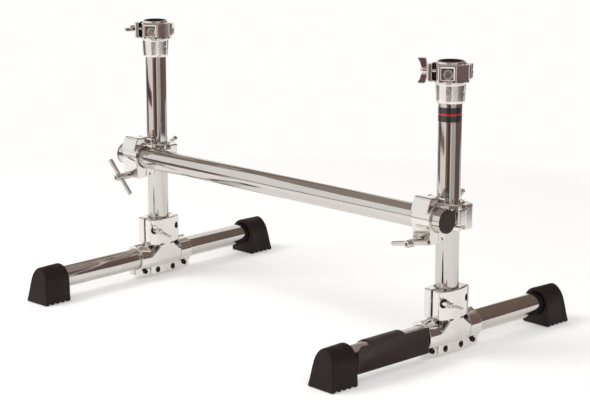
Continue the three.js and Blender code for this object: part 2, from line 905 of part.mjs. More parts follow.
function bushingForm() {
    const seat = rimTop + seatGap;
    const foot = uprightTop + seatGap;
    return cut(
        join(
            rod(bushing.radius, 'z', foot, seat + bushing.flangeThickness / 2, [0, 0], tubeSides),
            rod(bushing.flangeRadius, 'z', seat, seat + bushing.flangeThickness, [0, 0], tubeSides),
        ),
        rod(
            bushing.radius - bushing.wall, 'z', foot - overrun, seat + bushing.flangeThickness + overrun,
            [0, 0], tubeSides),
    );
}

function topClampPieces(name, stand) {
    const wing = aimed(
        piece(`${name}_top_wing_bolt`, topWingBolt(), chrome),
        [topClamp.earFar - seatGap, 0, headFoot + topWing.heightInHead],
        [-1, 0, 0], acrossX(quarterTurn - stand.topWingTurn));
    const nutSeat = frontNut.sinkDepth - topClamp.faceDistance - seatGap;
    const nut = piece(`${name}_top_nut`, prism(
        circle(frontNut.radius, 6, [0, headFoot + frontNut.heightInHead]), 'y',
        -topClamp.faceDistance - frontNut.proud, nutSeat), plainSteel);
    const pieces = group(
        piece(`${name}_top_clamp`, topClampCasting(), castChrome),
        piece(`${name}_top_bushing`, bushingForm(), blackPlastic),
        wing,
        nut,
    );
    pieces.rotation.z = THREE.MathUtils.degToRad(topClampTurn);
    return pieces;
}

// Base of a stand

function basePieces(name, stand) {
    const tubeHalf = footSpan / 2 - foot.endWall - seatGap;
    const footTube = piece(`${name}_foot_tube`, tube('y', -tubeHalf, tubeHalf), chrome);
    footTube.position.set(0, stand.footShift, footTubeHeight);
    const rearFoot = piece(`${name}_foot_rear`, rubberFoot(), blackRubber);
    rearFoot.position.y = stand.footShift + footSpan / 2 - foot.length;
    const frontFoot = piece(`${name}_foot_front`, rubberFoot(), blackRubber);
    frontFoot.rotation.z = Math.PI;
    frontFoot.position.y = stand.footShift - footSpan / 2 + foot.length;
    const wing = aimed(
        piece(`${name}_base_wing_bolt`, baseWingBolt(), chrome),
        [baseWing.recessFloor + seatGap, baseWing.across, footTubeHeight + baseWing.rise],
        [1, 0, 0], acrossX(stand.wingTurn));
    const hexHead = circle(hexScrew.headRadius, 6).map(([a, b]) => [b, a]).reverse();
    const hex = piece(`${name}_base_hex_screw`, headedBolt(
        hexScrew.shankRadius, baseClamp.boltBottom, hexScrew.pocketFloor,
        hexScrew.headTop, hexHead), plainSteel);
    hex.position.set(0, hexScrew.across, footTubeHeight + hexScrew.rise);
    const ends = [['front', -1], ['rear', 1]].flatMap(([end, sign]) => {
        const bolt = piece(`${name}_base_bolt_${end}`, headedBolt(
            lowerBolt.shankRadius, baseClamp.boltBottom, lowerBolt.sinkFloor,
            lowerBolt.headTop, circle(lowerBolt.headRadius, smallSides)), plainSteel);
        bolt.position.set(0, sign * lowerBolt.across, footTubeHeight - lowerBolt.drop);
        const middle = sign * (baseClamp.halfDepth + seatGap + lock.length / 2);
        const ringMesh = piece(`${name}_lock_${end}`, lockRing(), castChrome);
        ringMesh.position.set(0, middle - lock.length / 2, footTubeHeight);
        const screw = piece(`${name}_lock_${end}_bolt`, lockBolt(), plainSteel);
        screw.position.set(0, middle, footTubeHeight - lock.boltDrop);
        return [bolt, ringMesh, screw];
    });
    const clampHalves = [['outer', 0], ['inner', halfTurn]].map(([half, turn]) => {
        const casting = piece(`${name}_base_clamp_${half}`, baseClampHalf(turn), castChrome);
        casting.position.z = footTubeHeight;
        return casting;
    });
    const base = group(
        footTube,
        frontFoot,
        rearFoot,
        ...clampHalves,
        wing,
        hex,
        ...ends,
    );
    base.rotation.z = THREE.MathUtils.degToRad(stand.baseTurn);
    return base;
}

/** The plate beside the right foot tube, with the clip that hooks over the tube. */
function namePlateForm(stand) {
    const plate = namePlate;
    const front = stand.footShift - footSpan / 2 + foot.length + plate.frontGap;
    const back = -baseClamp.halfDepth - seatGap - lock.length - plate.backGap;
    const clipFront = front + plate.clipFrontInset;
    const clipBack = back - plate.clipBackInset;
    const inner = tubeRadius + seatGap;
    const outer = inner + plate.thickness;
    const face = [
        [front, -plate.footDrop],
        [back, -plate.footDrop],
        [back, plate.topRise],
        [front + plate.corner, plate.topRise],
        [front, plate.topRise - plate.corner],
    ];
    const slab = prism(rounded(face, plate.smallCorner), 'x', inner, outer);
    const shellInner = tubeRadius + seatGap;
    const shellOuter = shellInner + plate.clipThickness;
    const shell = prism([
        ...arc(shellOuter, 0, plate.clipWrap, plate.clipSteps, [0, 0]),
        ...arc(shellInner, plate.clipWrap, 0, plate.clipSteps, [0, 0]),
    ], 'y', clipFront, clipBack);
    const low = -shellOuter;
    const high = shellOuter;
    const trim = prism([
        [clipFront, low - overrun],
        [clipBack, low - overrun],
        [clipBack, 0],
        [clipBack - plate.clipSlant, high + seatGap],
        [clipFront + plate.clipSlant, high + seatGap],
        [clipFront, 0],
    ], 'x', -shellOuter - overrun, shellOuter + overrun);
    return join(slab, keep(shell, trim));
}

// Whole stands and the bar

function standPieces(name) {
    const stand = stands[name];
    const upright = piece(`${name}_upright`, tube('z', uprightFoot, uprightTop), chrome);
    const clamp = rackClampPieces(name, stand);
    clamp.position.z = barHeight;
    const base = basePieces(name, stand);
    if (name === 'right') {
        const plate = piece('name_plate', namePlateForm(stand), blackPlastic);
        plate.position.z = footTubeHeight;
        base.add(plate);
    }
    const whole = group(base, upright, clamp, topClampPieces(name, stand));
    whole.position.x = stand.side * uprightSpacing / 2;
    return whole;
}

function endCapForm() {
    const plugRadius = tubeRadius - tubeWall - seatGap;
    const inner = plugRadius - endCap.plugWall;
    return turned([
        [0, 0],
        [inner, 0],
        [inner, -endCap.plugLength],
        [plugRadius, -endCap.plugLength],
        [plugRadius, seatGap],
        [tubeRadius, seatGap],
        [tubeRadius, seatGap + endCap.thickness - endCap.edge],
        [tubeRadius - endCap.edge, seatGap + endCap.thickness],
        [0, seatGap + endCap.thickness],
    ], tubeSides);
}

function barPieces() {
    const right = uprightSpacing / 2 + barRightOverhang;
    const left = -uprightSpacing / 2 - barLeftOverhang;
    const bar = piece('bar', tube('x', left, right), chrome);
    const rightCap = piece('end_cap_right', endCapForm(), blackPlastic);
    aimed(rightCap, [right, 0, 0], [1, 0, 0], [0, 1, 0]);
    const leftCap = piece('end_cap_left', endCapForm(), blackPlastic);
    aimed(leftCap, [left, 0, 0], [-1, 0, 0], [0, 1, 0]);
    const whole = group(bar, rightCap, leftCap);
    whole.position.set(0, -barSetback, barHeight);
    return whole;
}

// The rack stands with the middle of its box over the origin
const rack = group(standPieces('left'), standPieces('right'), barPieces());
rack.updateMatrixWorld(true);
const box = new THREE.Box3().setFromObject(rack, true);
const middle = box.getCenter(new THREE.Vector3());
rack.position.set(-middle.x, -middle.y, -box.min.z);

export default rack;
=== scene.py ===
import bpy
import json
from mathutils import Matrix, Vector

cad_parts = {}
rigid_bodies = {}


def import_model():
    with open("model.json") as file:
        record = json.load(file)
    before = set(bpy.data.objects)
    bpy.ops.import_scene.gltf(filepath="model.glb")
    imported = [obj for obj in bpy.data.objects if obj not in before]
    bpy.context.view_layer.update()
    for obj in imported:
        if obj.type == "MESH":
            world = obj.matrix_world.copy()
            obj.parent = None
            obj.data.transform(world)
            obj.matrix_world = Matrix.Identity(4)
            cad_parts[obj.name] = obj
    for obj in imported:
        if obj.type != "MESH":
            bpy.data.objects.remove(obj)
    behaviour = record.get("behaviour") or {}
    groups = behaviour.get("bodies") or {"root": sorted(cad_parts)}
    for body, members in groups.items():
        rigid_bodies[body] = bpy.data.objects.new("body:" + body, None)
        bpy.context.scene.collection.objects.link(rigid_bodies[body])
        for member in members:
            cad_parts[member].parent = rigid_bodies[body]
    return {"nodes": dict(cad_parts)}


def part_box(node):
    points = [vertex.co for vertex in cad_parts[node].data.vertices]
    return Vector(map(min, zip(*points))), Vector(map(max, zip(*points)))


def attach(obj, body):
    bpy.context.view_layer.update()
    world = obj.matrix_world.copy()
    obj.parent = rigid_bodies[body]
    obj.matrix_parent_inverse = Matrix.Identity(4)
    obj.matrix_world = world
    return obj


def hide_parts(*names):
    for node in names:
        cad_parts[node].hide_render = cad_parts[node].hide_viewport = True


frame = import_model()

"""The drum rack frame's looks: chromed tubes, cast clamps, rubber feet and the pale studio floor."""

import json
import logging
import math
from dataclasses import dataclass
from enum import Enum
from typing import Callable, Iterable, Sequence

import bmesh
import bpy
from mathutils import Matrix, Vector

LOG = logging.getLogger("rack")
MM = 0.001
FULL_TURN = 2 * math.pi
QUARTER_TURN = math.pi / 2

# Numbers of sides, and the share of a chamfer at which its middle corner lies
HEXAGON = 6
PIN_SIDES = 24
HOLE_SIDES = 32
SCREW_SIDES = 40
SIDES = 48
BROAD_SIDES = 72
TUBE_SIDES = 96
CARD_SIDES = 64
MITRE = 0.3

# How far a cut reaches past what it cuts, and the gap of a seat, in millimetres
OVERRUN = 5.0
GAP = 0.3

Point = tuple[float, float]
Place = tuple[float, float, float]
Outline = tuple[Point, ...]
Socket = bpy.types.NodeSocket
Value = Socket | float | tuple[float, ...]

MIDDLE = (0.0, 0.0)
TO_FRONT = (0.0, -1.0, 0.0)
TO_BACK = (0.0, 1.0, 0.0)
TO_RIGHT = (1.0, 0.0, 0.0)
TO_LEFT = (-1.0, 0.0, 0.0)


class Axis(Enum):
    """An axis of the shared frame, by its index."""

    X = 0
    Y = 1
    Z = 2


class Cut(Enum):
    """What a second body does to the first, by the modifier's word for it."""

    JOIN = "UNION"
    TAKE = "DIFFERENCE"
    KEEP = "INTERSECT"


class Slot(Enum):
    """The record's material slots."""

    CHROME_TUBE = "chrome_tube"
    CAST_CHROME = "cast_chrome"
    STEEL = "steel"
    RUBBER = "rubber"
    BLACK_PLASTIC = "black_plastic"


# Turns of Z onto each axis, with the other axes kept in their order
FACING = {
    Axis.X: Matrix(((0, 0, 1, 0), (1, 0, 0, 0), (0, 1, 0, 0), (0, 0, 0, 1))),
    Axis.Y: Matrix(((0, 1, 0, 0), (0, 0, 1, 0), (1, 0, 0, 0), (0, 0, 0, 1))),
    Axis.Z: Matrix.Identity(4),
}


# Outlines


def arc(radius: float, start: float, end: float, steps: int, centre: Point = MIDDLE) -> list[Point]:
    """Gives points along an arc.

    Args:
        radius: The arc's radius in millimetres.
        start: The first angle in degrees.
        end: The last angle in degrees.
        steps: The number of chords.
        centre: The arc's centre.

    Returns:
        The points, both ends included.
    """
    angles = [math.radians(start + (end - start) * index / steps) for index in range(steps + 1)]
    return [(centre[0] + radius * math.cos(a), centre[1] + radius * math.sin(a)) for a in angles]


def circle(radius: float, sides: int = SIDES, centre: Point = MIDDLE) -> list[Point]:
    """Gives a regular polygon's corners, turning from the first axis to the second."""
    return arc(radius, 0.0, 360.0, sides, centre)[:-1]


def rectangle(low: Point, high: Point) -> list[Point]:
    """Gives the four corners between a lowest and a highest one."""
    return [low, (high[0], low[1]), high, (low[0], high[1])]


def rounded(points: Sequence[Point], radius: float, steps: int = 6) -> list[Point]:
    """Rounds every corner of an outline.

    Args:
        points: The outline's corners.
        radius: The rounding in millimetres, less where a side is short.
        steps: The number of chords in each corner.

    Returns:
        The rounded outline.
    """
    straight, most_share = 0.02, 0.48
    outline: list[Point] = []
    for index, point in enumerate(points):
        corner = Vector(point)
        before = Vector(points[index - 1]) - corner
        after = Vector(points[(index + 1) % len(points)]) - corner
        half = before.angle(after) / 2
        if half > QUARTER_TURN - straight:
            outline.append((corner.x, corner.y))
            continue
        reach = min(radius / math.tan(half), before.length * most_share, after.length * most_share)
        start, end = corner + before.normalized() * reach, corner + after.normalized() * reach
        for step in range(steps + 1):
            share = step / steps
            spot = start * (1 - share) ** 2 + corner * 2 * share * (1 - share) + end * share ** 2
            outline.append((spot.x, spot.y))
    return outline


def eased(radius: float, low: float, high: float, edge: float) -> list[Point]:
    """Gives the outer profile of a bar from low to high, with a soft chamfer at both ends."""
    start = [(radius - edge, low), (radius - edge * MITRE, low + edge * MITRE), (radius, low + edge)]
    return start + [(r, low + high - height) for r, height in reversed(start)]


# Bodies


class Solid:
    """A closed body in its own millimetres."""

    def __init__(self, points: Iterable[Place], faces: Iterable[Sequence[int]]) -> None:
        """Makes a body, with doubled corners merged and every face turned outwards.

        Args:
            points: The corners.
            faces: The corners of each face, by number.
        """
        self.mesh = bpy.data.meshes.new("solid")
        self.mesh.from_pydata([tuple(p) for p in points], [], [tuple(f) for f in faces])
        work = bmesh.new()
        work.from_mesh(self.mesh)
        bmesh.ops.remove_doubles(work, verts=work.verts, dist=1e-4)
        bmesh.ops.recalc_face_normals(work, faces=work.faces)
        work.to_mesh(self.mesh)
        work.free()

    @classmethod
    def _of(cls, mesh: bpy.types.Mesh) -> "Solid":
        """Wraps a mesh that is already closed.

        Args:
            mesh: The mesh.

        Returns:
            The body.
        """
        body = cls.__new__(cls)
        body.mesh = mesh
        return body

    def moved(self, matrix: Matrix) -> "Solid":
        """Places a copy of the body.

        Args:
            matrix: Where it goes, in millimetres.

        Returns:
            The placed copy.
        """
        mesh = self.mesh.copy()
        mesh.transform(matrix)
        if matrix.determinant() < 0:
            mesh.flip_normals()
        return Solid._of(mesh)

    def _with(self, setup: Callable[[bpy.types.Object], None]) -> "Solid":
        """Gives the body as it looks after modifiers.

        Args:
            setup: Adds the modifiers to an object.

        Returns:
            The new body.
        """
        holder = bpy.data.objects.new("holder", self.mesh)
        bpy.context.scene.collection.objects.link(holder)
        setup(holder)
        graph = bpy.context.evaluated_depsgraph_get()
        result = bpy.data.meshes.new_from_object(holder.evaluated_get(graph))
        bpy.data.objects.remove(holder)
        return Solid._of(result)

    def _combined(self, kind: Cut, others: Sequence["Solid"]) -> "Solid":
        """Joins the body with others, or cuts it by them, one after the other.

        Args:
            kind: What the others do to it.
            others: The other bodies.

        Returns:
            The new body.
        """
        whole = self
        for other in others:
            tool = bpy.data.objects.new("tool", other.mesh)
            bpy.context.scene.collection.objects.link(tool)

            def setup(holder: bpy.types.Object, tool: bpy.types.Object = tool) -> None:
                """Adds the modifier that does it.

                Args:
                    holder: The object.
                    tool: The other body.
                """
                modifier = holder.modifiers.new("combine", "BOOLEAN")
                modifier.operation = kind.value
                modifier.solver = "EXACT"
                modifier.object = tool

            whole = whole._with(setup)
            bpy.data.objects.remove(tool)
        return whole

    def join(self, *others: "Solid") -> "Solid":
        """Joins the body with others."""
        return self._combined(Cut.JOIN, others)

    def cut(self, *others: "Solid") -> "Solid":
        """Cuts others out of the body."""
        return self._combined(Cut.TAKE, others)

    def keep(self, *others: "Solid") -> "Solid":
        """Keeps only what lies in the other bodies too."""
        return self._combined(Cut.KEEP, others)

    def pooled(self, *others: "Solid") -> "Solid":
        """Puts several overlapping bodies into one mesh, for a cast to fuse.

        Args:
            others: The other bodies.

        Returns:
            The pooled bodies.
        """
        work = bmesh.new()
        for body in (self, *others):
            work.from_mesh(body.mesh)
        mesh = bpy.data.meshes.new("pool")
        work.to_mesh(mesh)
        work.free()
        return Solid._of(mesh)

    def cast(self, grain: float, passes: int) -> "Solid":
        """Softens the body as a casting or moulding is soft.

        Args:
            grain: The size of the new mesh's cells in millimetres.
            passes: How many times the surface is evened out.

        Returns:
            The soft body.
        """

        def setup(holder: bpy.types.Object) -> None:
            """Adds the modifiers that do it.

            Args:
                holder: The object.
            """
            remesh = holder.modifiers.new("remesh", "REMESH")
            remesh.mode = "VOXEL"
            remesh.voxel_size = grain * 1.0
            remesh.adaptivity = 0.0
            if passes > 0:
                smooth = holder.modifiers.new("smooth", "SMOOTH")
                smooth.factor = 0.5
                smooth.iterations = passes

        soft = self._with(setup)
        soft.mesh.shade_smooth()
        return soft

    def warped(self, change: Callable[[Vector], Place]) -> "Solid":
        """Moves each corner by a rule.

        Args:
            change: Gives a corner's new place from its old one.

        Returns:
            The changed body.
        """
        result = self.moved(Matrix.Identity(4))
        for corner in result.mesh.vertices:
            corner.co = change(corner.co)
        return result


def prism(points: Sequence[Point], axis: Axis, low: float, high: float) -> Solid:
    """Draws an outline along an axis.

    Args:
        points: The outline, in the two other axes in their order.
        axis: The axis it is drawn along.
        low: Where it starts in millimetres.
        high: Where it ends in millimetres.

    Returns:
        The prism.
    """
    def spot(a: float, b: float, c: float) -> Place:
        """Gives a corner's place."""
        return {Axis.X: (c, a, b), Axis.Y: (a, c, b), Axis.Z: (a, b, c)}[axis]

    count = len(points)
    corners = [spot(a, b, low) for a, b in points] + [spot(a, b, high) for a, b in points]
    faces: list[Sequence[int]] = [tuple(range(count)), tuple(range(2 * count - 1, count - 1, -1))]
    for index in range(count):
        after = (index + 1) % count
        faces.append((index, after, count + after, count + index))
    return Solid(corners, faces)


def turned(profile: Sequence[Point], sides: int = SIDES) -> Solid:
    """Turns a profile about Z.

    Args:
        profile: Radius and height of each corner, from one end to the other; closed by the axis, or
            a loop of its own where the last corner is the first.
        sides: The number of steps round.

    Returns:
        The turned body.
    """
    corners: list[Place] = []
    rings: list[list[int]] = []
    for radius, height in profile:
        if radius <= 0:
            rings.append([len(corners)])
            corners.append((0.0, 0.0, height))
            continue
        rings.append(list(range(len(corners), len(corners) + sides)))
        angles = [FULL_TURN * step / sides for step in range(sides)]
        corners.extend((radius * math.cos(angle), radius * math.sin(angle), height) for angle in angles)
    faces: list[Sequence[int]] = []
    for low, high in zip(rings, rings[1:]):
        for k in range(sides):
            after = k + 1
            loop = [low[k % len(low)], low[after % len(low)], high[after % len(high)], high[k % len(high)]]
            unique = list(dict.fromkeys(loop))
            if len(unique) > 2:
                faces.append(unique)
    return Solid(corners, faces)


def rod(
    radius: float, axis: Axis, low: float, high: float, centre: Point = MIDDLE, sides: int = SIDES,
    edge: float = 0.0,
) -> Solid:
    """Makes a round bar along an axis.

    Args:
        radius: Its radius in millimetres.
        axis: The axis it lies along.
        low: Where it starts.
        high: Where it ends.
        centre: Its place in the two other axes in their order.
        sides: The number of sides.
        edge: The chamfer at both ends.

    Returns:
        The bar.
    """
    if edge <= 0:
        return prism(circle(radius, sides, centre), axis, low, high)
    bar = turned([(0.0, low), *eased(radius, low, high, edge), (0.0, high)], sides)
    place = {Axis.X: (0.0, *centre), Axis.Y: (centre[0], 0.0, centre[1]), Axis.Z: (*centre, 0.0)}[axis]
    return bar.moved(Matrix.Translation(place) @ FACING[axis])


def aimed(position: Place, forward: Place, across: Place) -> Matrix:
    """Gives the place of a piece whose Z points forward and whose X points across.

    Args:
        position: Where its own origin goes.
        forward: Where its Z points.
        across: Where its X points.

    Returns:
        The placing matrix.
    """
    ahead, aside = Vector(forward).normalized(), Vector(across).normalized()
    basis = Matrix((aside, ahead.cross(aside), ahead)).transposed()
    return Matrix.Translation(position) @ basis.to_4x4()


def leaning(degrees: float) -> Place:
    """Gives a direction in Y and Z, by its angle from Y."""
    return (0.0, math.cos(math.radians(degrees)), math.sin(math.radians(degrees)))


# Finishes


class Nodes:
    """A node tree, written to in short."""

    def __init__(self, tree: bpy.types.NodeTree) -> None:
        """Takes the tree that the nodes go into."""
        self.tree = tree

    def feed(self, node: bpy.types.Node, inputs: dict[str | int, Value]) -> None:
        """Gives each named input a value or another node's output.

        Args:
            node: The node.
            inputs: What goes into each input, by its name or number.
        """
        for name, value in inputs.items():
            if isinstance(value, Socket):
                self.tree.links.new(value, node.inputs[name])
            else:
                node.inputs[name].default_value = value

    def add(self, kind: str, inputs: dict[str | int, Value] | None = None, **options: str) -> bpy.types.Node:
        """Adds a shader node.

        Args:
            kind: The node's type, without the word that all of them start with.
            inputs: What goes into each input.
            options: The node's own options.

        Returns:
            The node.
        """
        node = self.tree.nodes.new(f"ShaderNode{kind}")
        for name, option in options.items():
            setattr(node, name, option)
        self.feed(node, inputs or {})
        return node

    def math(self, operation: str, *values: Value) -> Socket:
        """Adds a calculation and gives its result."""
        return self.add("Math", dict(enumerate(values)), operation=operation).outputs[0]

    def noise(self, place: Socket, scale: Value, detail: float) -> Socket:
        """Adds noise and gives its value."""
        return self.add("TexNoise", {"Vector": place, "Scale": scale, "Detail": detail}).outputs["Fac"]

    def mix(self, kind: str, share: Value, first: Value, second: Value) -> Socket:
        """Adds a mix of two numbers or colours and gives its result."""
        inputs = {"Factor": share, "A": first, "B": second}
        return self.add("Mix", inputs, data_type=kind).outputs["Result"]

    def step(self, value: Socket, start: float, end: float, low: Value = 0.0, high: Value = 1.0) -> Socket:
        """Adds a smooth step from low to high, while the value goes from start to end."""
        inputs = {"Value": value, "From Min": start, "From Max": end, "To Min": low, "To Max": high}
        return self.add("MapRange", inputs, interpolation_type="SMOOTHSTEP").outputs["Result"]

    def blend(self, share: Socket, first: bpy.types.Node, second: bpy.types.Node) -> bpy.types.Node:
        """Adds a mix of two shaders."""
        return self.add("MixShader", {"Fac": share, 1: first.outputs[0], 2: second.outputs[0]})


@dataclass(frozen=True)
class Effect:
    """A node group that finishes share, drawn from its coordinates and its numbers."""

    name: str
    numbers: tuple[str, ...]
    draw: Callable[..., Socket]

    def _group(self) -> bpy.types.NodeTree:
        """Makes the group, or gives the one made before.

        Returns:
            The group.
        """
        known = bpy.data.node_groups.get(self.name)
        if known:
            return known
        group = bpy.data.node_groups.new(self.name, "ShaderNodeTree")
        group.interface.new_socket("Coordinates", in_out="INPUT", socket_type="NodeSocketVector")
        for label in self.numbers:
            group.interface.new_socket(label, in_out="INPUT", socket_type="NodeSocketFloat")
        group.interface.new_socket("Value", in_out="OUTPUT", socket_type="NodeSocketFloat")
        start, end = group.nodes.new("NodeGroupInput"), group.nodes.new("NodeGroupOutput")
        given = [start.outputs[label] for label in ("Coordinates", *self.numbers)]
        group.links.new(self.draw(Nodes(group), *given), end.inputs["Value"])
        return group

    def put(self, nodes: Nodes, place: Socket, *numbers: float) -> Socket:
        """Puts the effect into a material.

        Args:
            nodes: The material's nodes.
            place: The coordinates it is drawn on.
            numbers: Its numbers, in their order.

        Returns:
            Its value.
        """
        node = nodes.tree.nodes.new("ShaderNodeGroup")
        node.node_tree = self._group()
        nodes.feed(node, {"Coordinates": place, **dict(zip(self.numbers, numbers))})
        return node.outputs["Value"]


def draw_smudges(nodes: Nodes, place: Socket, scale: Socket, low: Socket, high: Socket) -> Socket:
    """Mottles a polished surface from low to high, as handling does.

    Args:
        nodes: The group's nodes.
        place: The coordinates.
        scale: How fine the marks are.
        low: The value between the marks.
        high: The value in the marks.

    Returns:
        The value.
    """
    finer, fine_share, detail = 6.0, 0.3, 4.0
    broad = nodes.noise(place, scale, detail)
    fine = nodes.noise(place, nodes.math("MULTIPLY", scale, finer), detail)
    return nodes.step(nodes.math("MULTIPLY_ADD", fine, fine_share, broad), 0.42, 0.9, low, high)


def draw_lines(nodes: Nodes, place: Socket, stretch: Socket, scale: Socket) -> Socket:
    """Draws fine polishing lines along the coordinates' first axis, from zero to one.

    Args:
        nodes: The group's nodes.
        place: The coordinates.
        stretch: How much shorter the first axis counts.
        scale: How fine the lines are.

    Returns:
        Their height.
    """
    apart = nodes.add("SeparateXYZ", {0: place}).outputs
    along = nodes.math("MULTIPLY", apart["X"], stretch)
    together = nodes.add("CombineXYZ", {"X": along, "Y": apart["Y"], "Z": apart["Z"]})
    return nodes.step(nodes.noise(together.outputs[0], scale, 3.0), 0.45, 0.75)


def draw_grain(nodes: Nodes, place: Socket, scale: Socket, waves: Socket, share: Socket) -> Socket:
    """Draws the skin of castings and mouldings, from about zero to one."""
    return nodes.mix("FLOAT", share, nodes.noise(place, scale, 2.0), nodes.noise(place, waves, 2.0))


SMUDGES = Effect("smudges", ("Scale", "Low", "High"), draw_smudges)
POLISH_LINES = Effect("polish_lines", ("Stretch", "Scale"), draw_lines)
SKIN_GRAIN = Effect("skin_grain", ("Scale", "Waves", "Share"), draw_grain)


@dataclass(frozen=True)
class Stripe:
    """A painted stripe round the upright, between two heights in metres."""

    color: Place
    low: float
    high: float


@dataclass(frozen=True)
class Finish:
    """A surface finish. Its numbers are the shader's, and its lengths are in metres."""

    name: str
    slot: Slot
    color: Place
    metallic: float
    smooth: float
    rough: float
    smudge_scale: float = 24.0
    grain_scale: float = 320.0
    grain_waves: float = 70.0
    grain_share: float = 0.5
    grain_depth: float = 0.0
    line_depth: float = 0.0
    line_stretch: float = 0.02
    line_scale: float = 900.0
    line_axis: Axis = Axis.Z
    coat: float = 0.0
    stripe: Stripe | None = None
    specular: float = 0.5
    tint_scale: float = 0.6
    tint_dim: float = 0.93

    def build(self) -> bpy.types.Material:
        """Makes the material, or gives the one made before.

        Returns:
            The material.
        """
        known = bpy.data.materials.get(self.name)
        if known:
            return known
        material = bpy.data.materials.new(self.name)
        material.use_nodes = True
        nodes = Nodes(material.node_tree)
        place = nodes.add("TexCoord").outputs["Object"]
        nodes.feed(nodes.tree.nodes["Principled BSDF"], {
            "Metallic": self.metallic,
            "Specular IOR Level": self.specular,
            "Coat Weight": self.coat,
            "Roughness": SMUDGES.put(nodes, place, self.smudge_scale, self.smooth, self.rough),
            "Base Color": self._colour(nodes, place),
            **self._relief(nodes, place)})
        return material

    def _colour(self, nodes: Nodes, place: Socket) -> Socket:
        """Gives the base colour, mottled a little, with the painted stripe if there is one.

        Args:
            nodes: The material's nodes.
            place: The coordinates.

        Returns:
            The colour.
        """
        tint = SMUDGES.put(nodes, place, self.smudge_scale * self.tint_scale, 0.0, 1.0)
        dim = tuple(channel * self.tint_dim for channel in self.color)
        colour = nodes.mix("RGBA", tint, (*self.color, 1.0), (*dim, 1.0))
        if self.stripe:
            height = nodes.add("SeparateXYZ", {0: place}).outputs["Z"]
            over = nodes.math("GREATER_THAN", height, self.stripe.low)
            under = nodes.math("LESS_THAN", height, self.stripe.high)
            both = nodes.math("MULTIPLY", over, under)
            colour = nodes.mix("RGBA", both, colour, (*self.stripe.color, 1.0))
        return colour

    def _relief(self, nodes: Nodes, place: Socket) -> dict[str, Socket]:
        """Gives the normal with the casting's skin and the polishing lines, where there are any.

        Args:
            nodes: The material's nodes.
            place: The coordinates.

        Returns:
            The shader's normal by its name, or nothing.
        """
        reliefs: list[tuple[Socket, float]] = []
        if self.grain_depth > 0:
            grain = SKIN_GRAIN.put(nodes, place, self.grain_scale, self.grain_waves, self.grain_share)
            reliefs.append((grain, self.grain_depth))
        if self.line_depth > 0:
            turn = {
                Axis.X: (0.0, 0.0, 0.0), Axis.Y: (0.0, 0.0, -QUARTER_TURN),
                Axis.Z: (0.0, QUARTER_TURN, 0.0)}[self.line_axis]
            along = nodes.add("Mapping", {"Vector": place, "Rotation": turn})
            lines = POLISH_LINES.put(nodes, along.outputs["Vector"], self.line_stretch, self.line_scale)
            reliefs.append((lines, self.line_depth))
        normal: dict[str, Socket] = {}
        for height, depth in reliefs:
            bump = nodes.add("Bump", {"Distance": depth, "Height": height, **normal})
            normal = {"Normal": bump.outputs["Normal"]}
        return normal


CHROME = (0.63, 0.605, 0.575)


def tube_finish(axis: Axis) -> Finish:
    """Gives the polished chrome of a tube, with polishing lines along it.

    Args:
        axis: The axis the tube lies along.

    Returns:
        The finish.
    """
    return Finish(
        f"chrome_tube_{axis.name.lower()}", Slot.CHROME_TUBE, CHROME, 1.0, 0.035, 0.11,
        smudge_scale=16.0, line_depth=4e-6, line_axis=axis)


CAST = Finish(
    "polished_casting", Slot.CAST_CHROME, (0.80, 0.775, 0.745), 1.0, 0.075, 0.16, smudge_scale=40.0,
    grain_scale=420.0, grain_waves=95.0, grain_share=0.6, grain_depth=5.5e-5)
BRIGHT = Finish(
    "turned_chrome", Slot.CAST_CHROME, CHROME, 1.0, 0.06, 0.14, smudge_scale=50.0,
    grain_scale=600.0, grain_waves=200.0, grain_depth=1.2e-5)
STEEL = Finish(
    "plated_steel", Slot.STEEL, (0.5, 0.48, 0.455), 1.0, 0.2, 0.34, smudge_scale=90.0,
    grain_scale=900.0, grain_waves=300.0, grain_depth=2e-5)
BLACKED = Finish(
    "blackened_steel", Slot.STEEL, (0.05, 0.038, 0.034), 1.0, 0.22, 0.36, smudge_scale=90.0,
    grain_scale=900.0, grain_waves=300.0, grain_depth=2e-5)
RUBBER = Finish(
    "black_rubber", Slot.RUBBER, (0.0185, 0.0100, 0.0110), 0.0, 0.5, 0.68, smudge_scale=30.0,
    grain_scale=1400.0, grain_waves=160.0, grain_share=0.25, grain_depth=7e-5, specular=0.24)
PLASTIC = Finish(
    "moulded_plastic", Slot.BLACK_PLASTIC, (0.040, 0.0255, 0.0240), 0.0, 0.42, 0.56, smudge_scale=40.0,
    grain_scale=1100.0, grain_waves=180.0, grain_depth=3e-5, specular=0.26)
BAND = Finish(
    "label_band", Slot.BLACK_PLASTIC, (0.022, 0.020, 0.021), 0.0, 0.16, 0.24, smudge_scale=60.0, coat=0.5,
    stripe=Stripe((0.55, 0.012, 0.018), 0.3895, 0.3925), grain_scale=900.0, grain_depth=6e-6)


# Pieces in the scene


def show(
    name: str, solid: Solid, place: Matrix, finish: Finish, body: str, *nodes: str,
    sharp: float | None = 30.0,
) -> None:
    """Puts a finished piece into the scene.

    Args:
        name: The piece's name.
        solid: Its body, in its own millimetres.
        place: Where the body goes, in the shared frame's millimetres.
        finish: Its finish.
        body: The CAD body it moves with.
        nodes: The CAD nodes it stands for.
        sharp: The angle in degrees over which an edge stays sharp, or None for soft all over.
    """
    mesh = solid.moved(Matrix.Scale(MM, 4) @ place).mesh
    mesh.name = name
    mesh.materials.clear()
    mesh.materials.append(finish.build())
    mesh.shade_smooth()
    if sharp is not None:
        mesh.set_sharp_from_angle(angle=math.radians(sharp))
    item = bpy.data.objects.new(name, mesh)
    bpy.context.scene.collection.objects.link(item)
    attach(item, body)
    if nodes:
        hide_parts(*nodes)


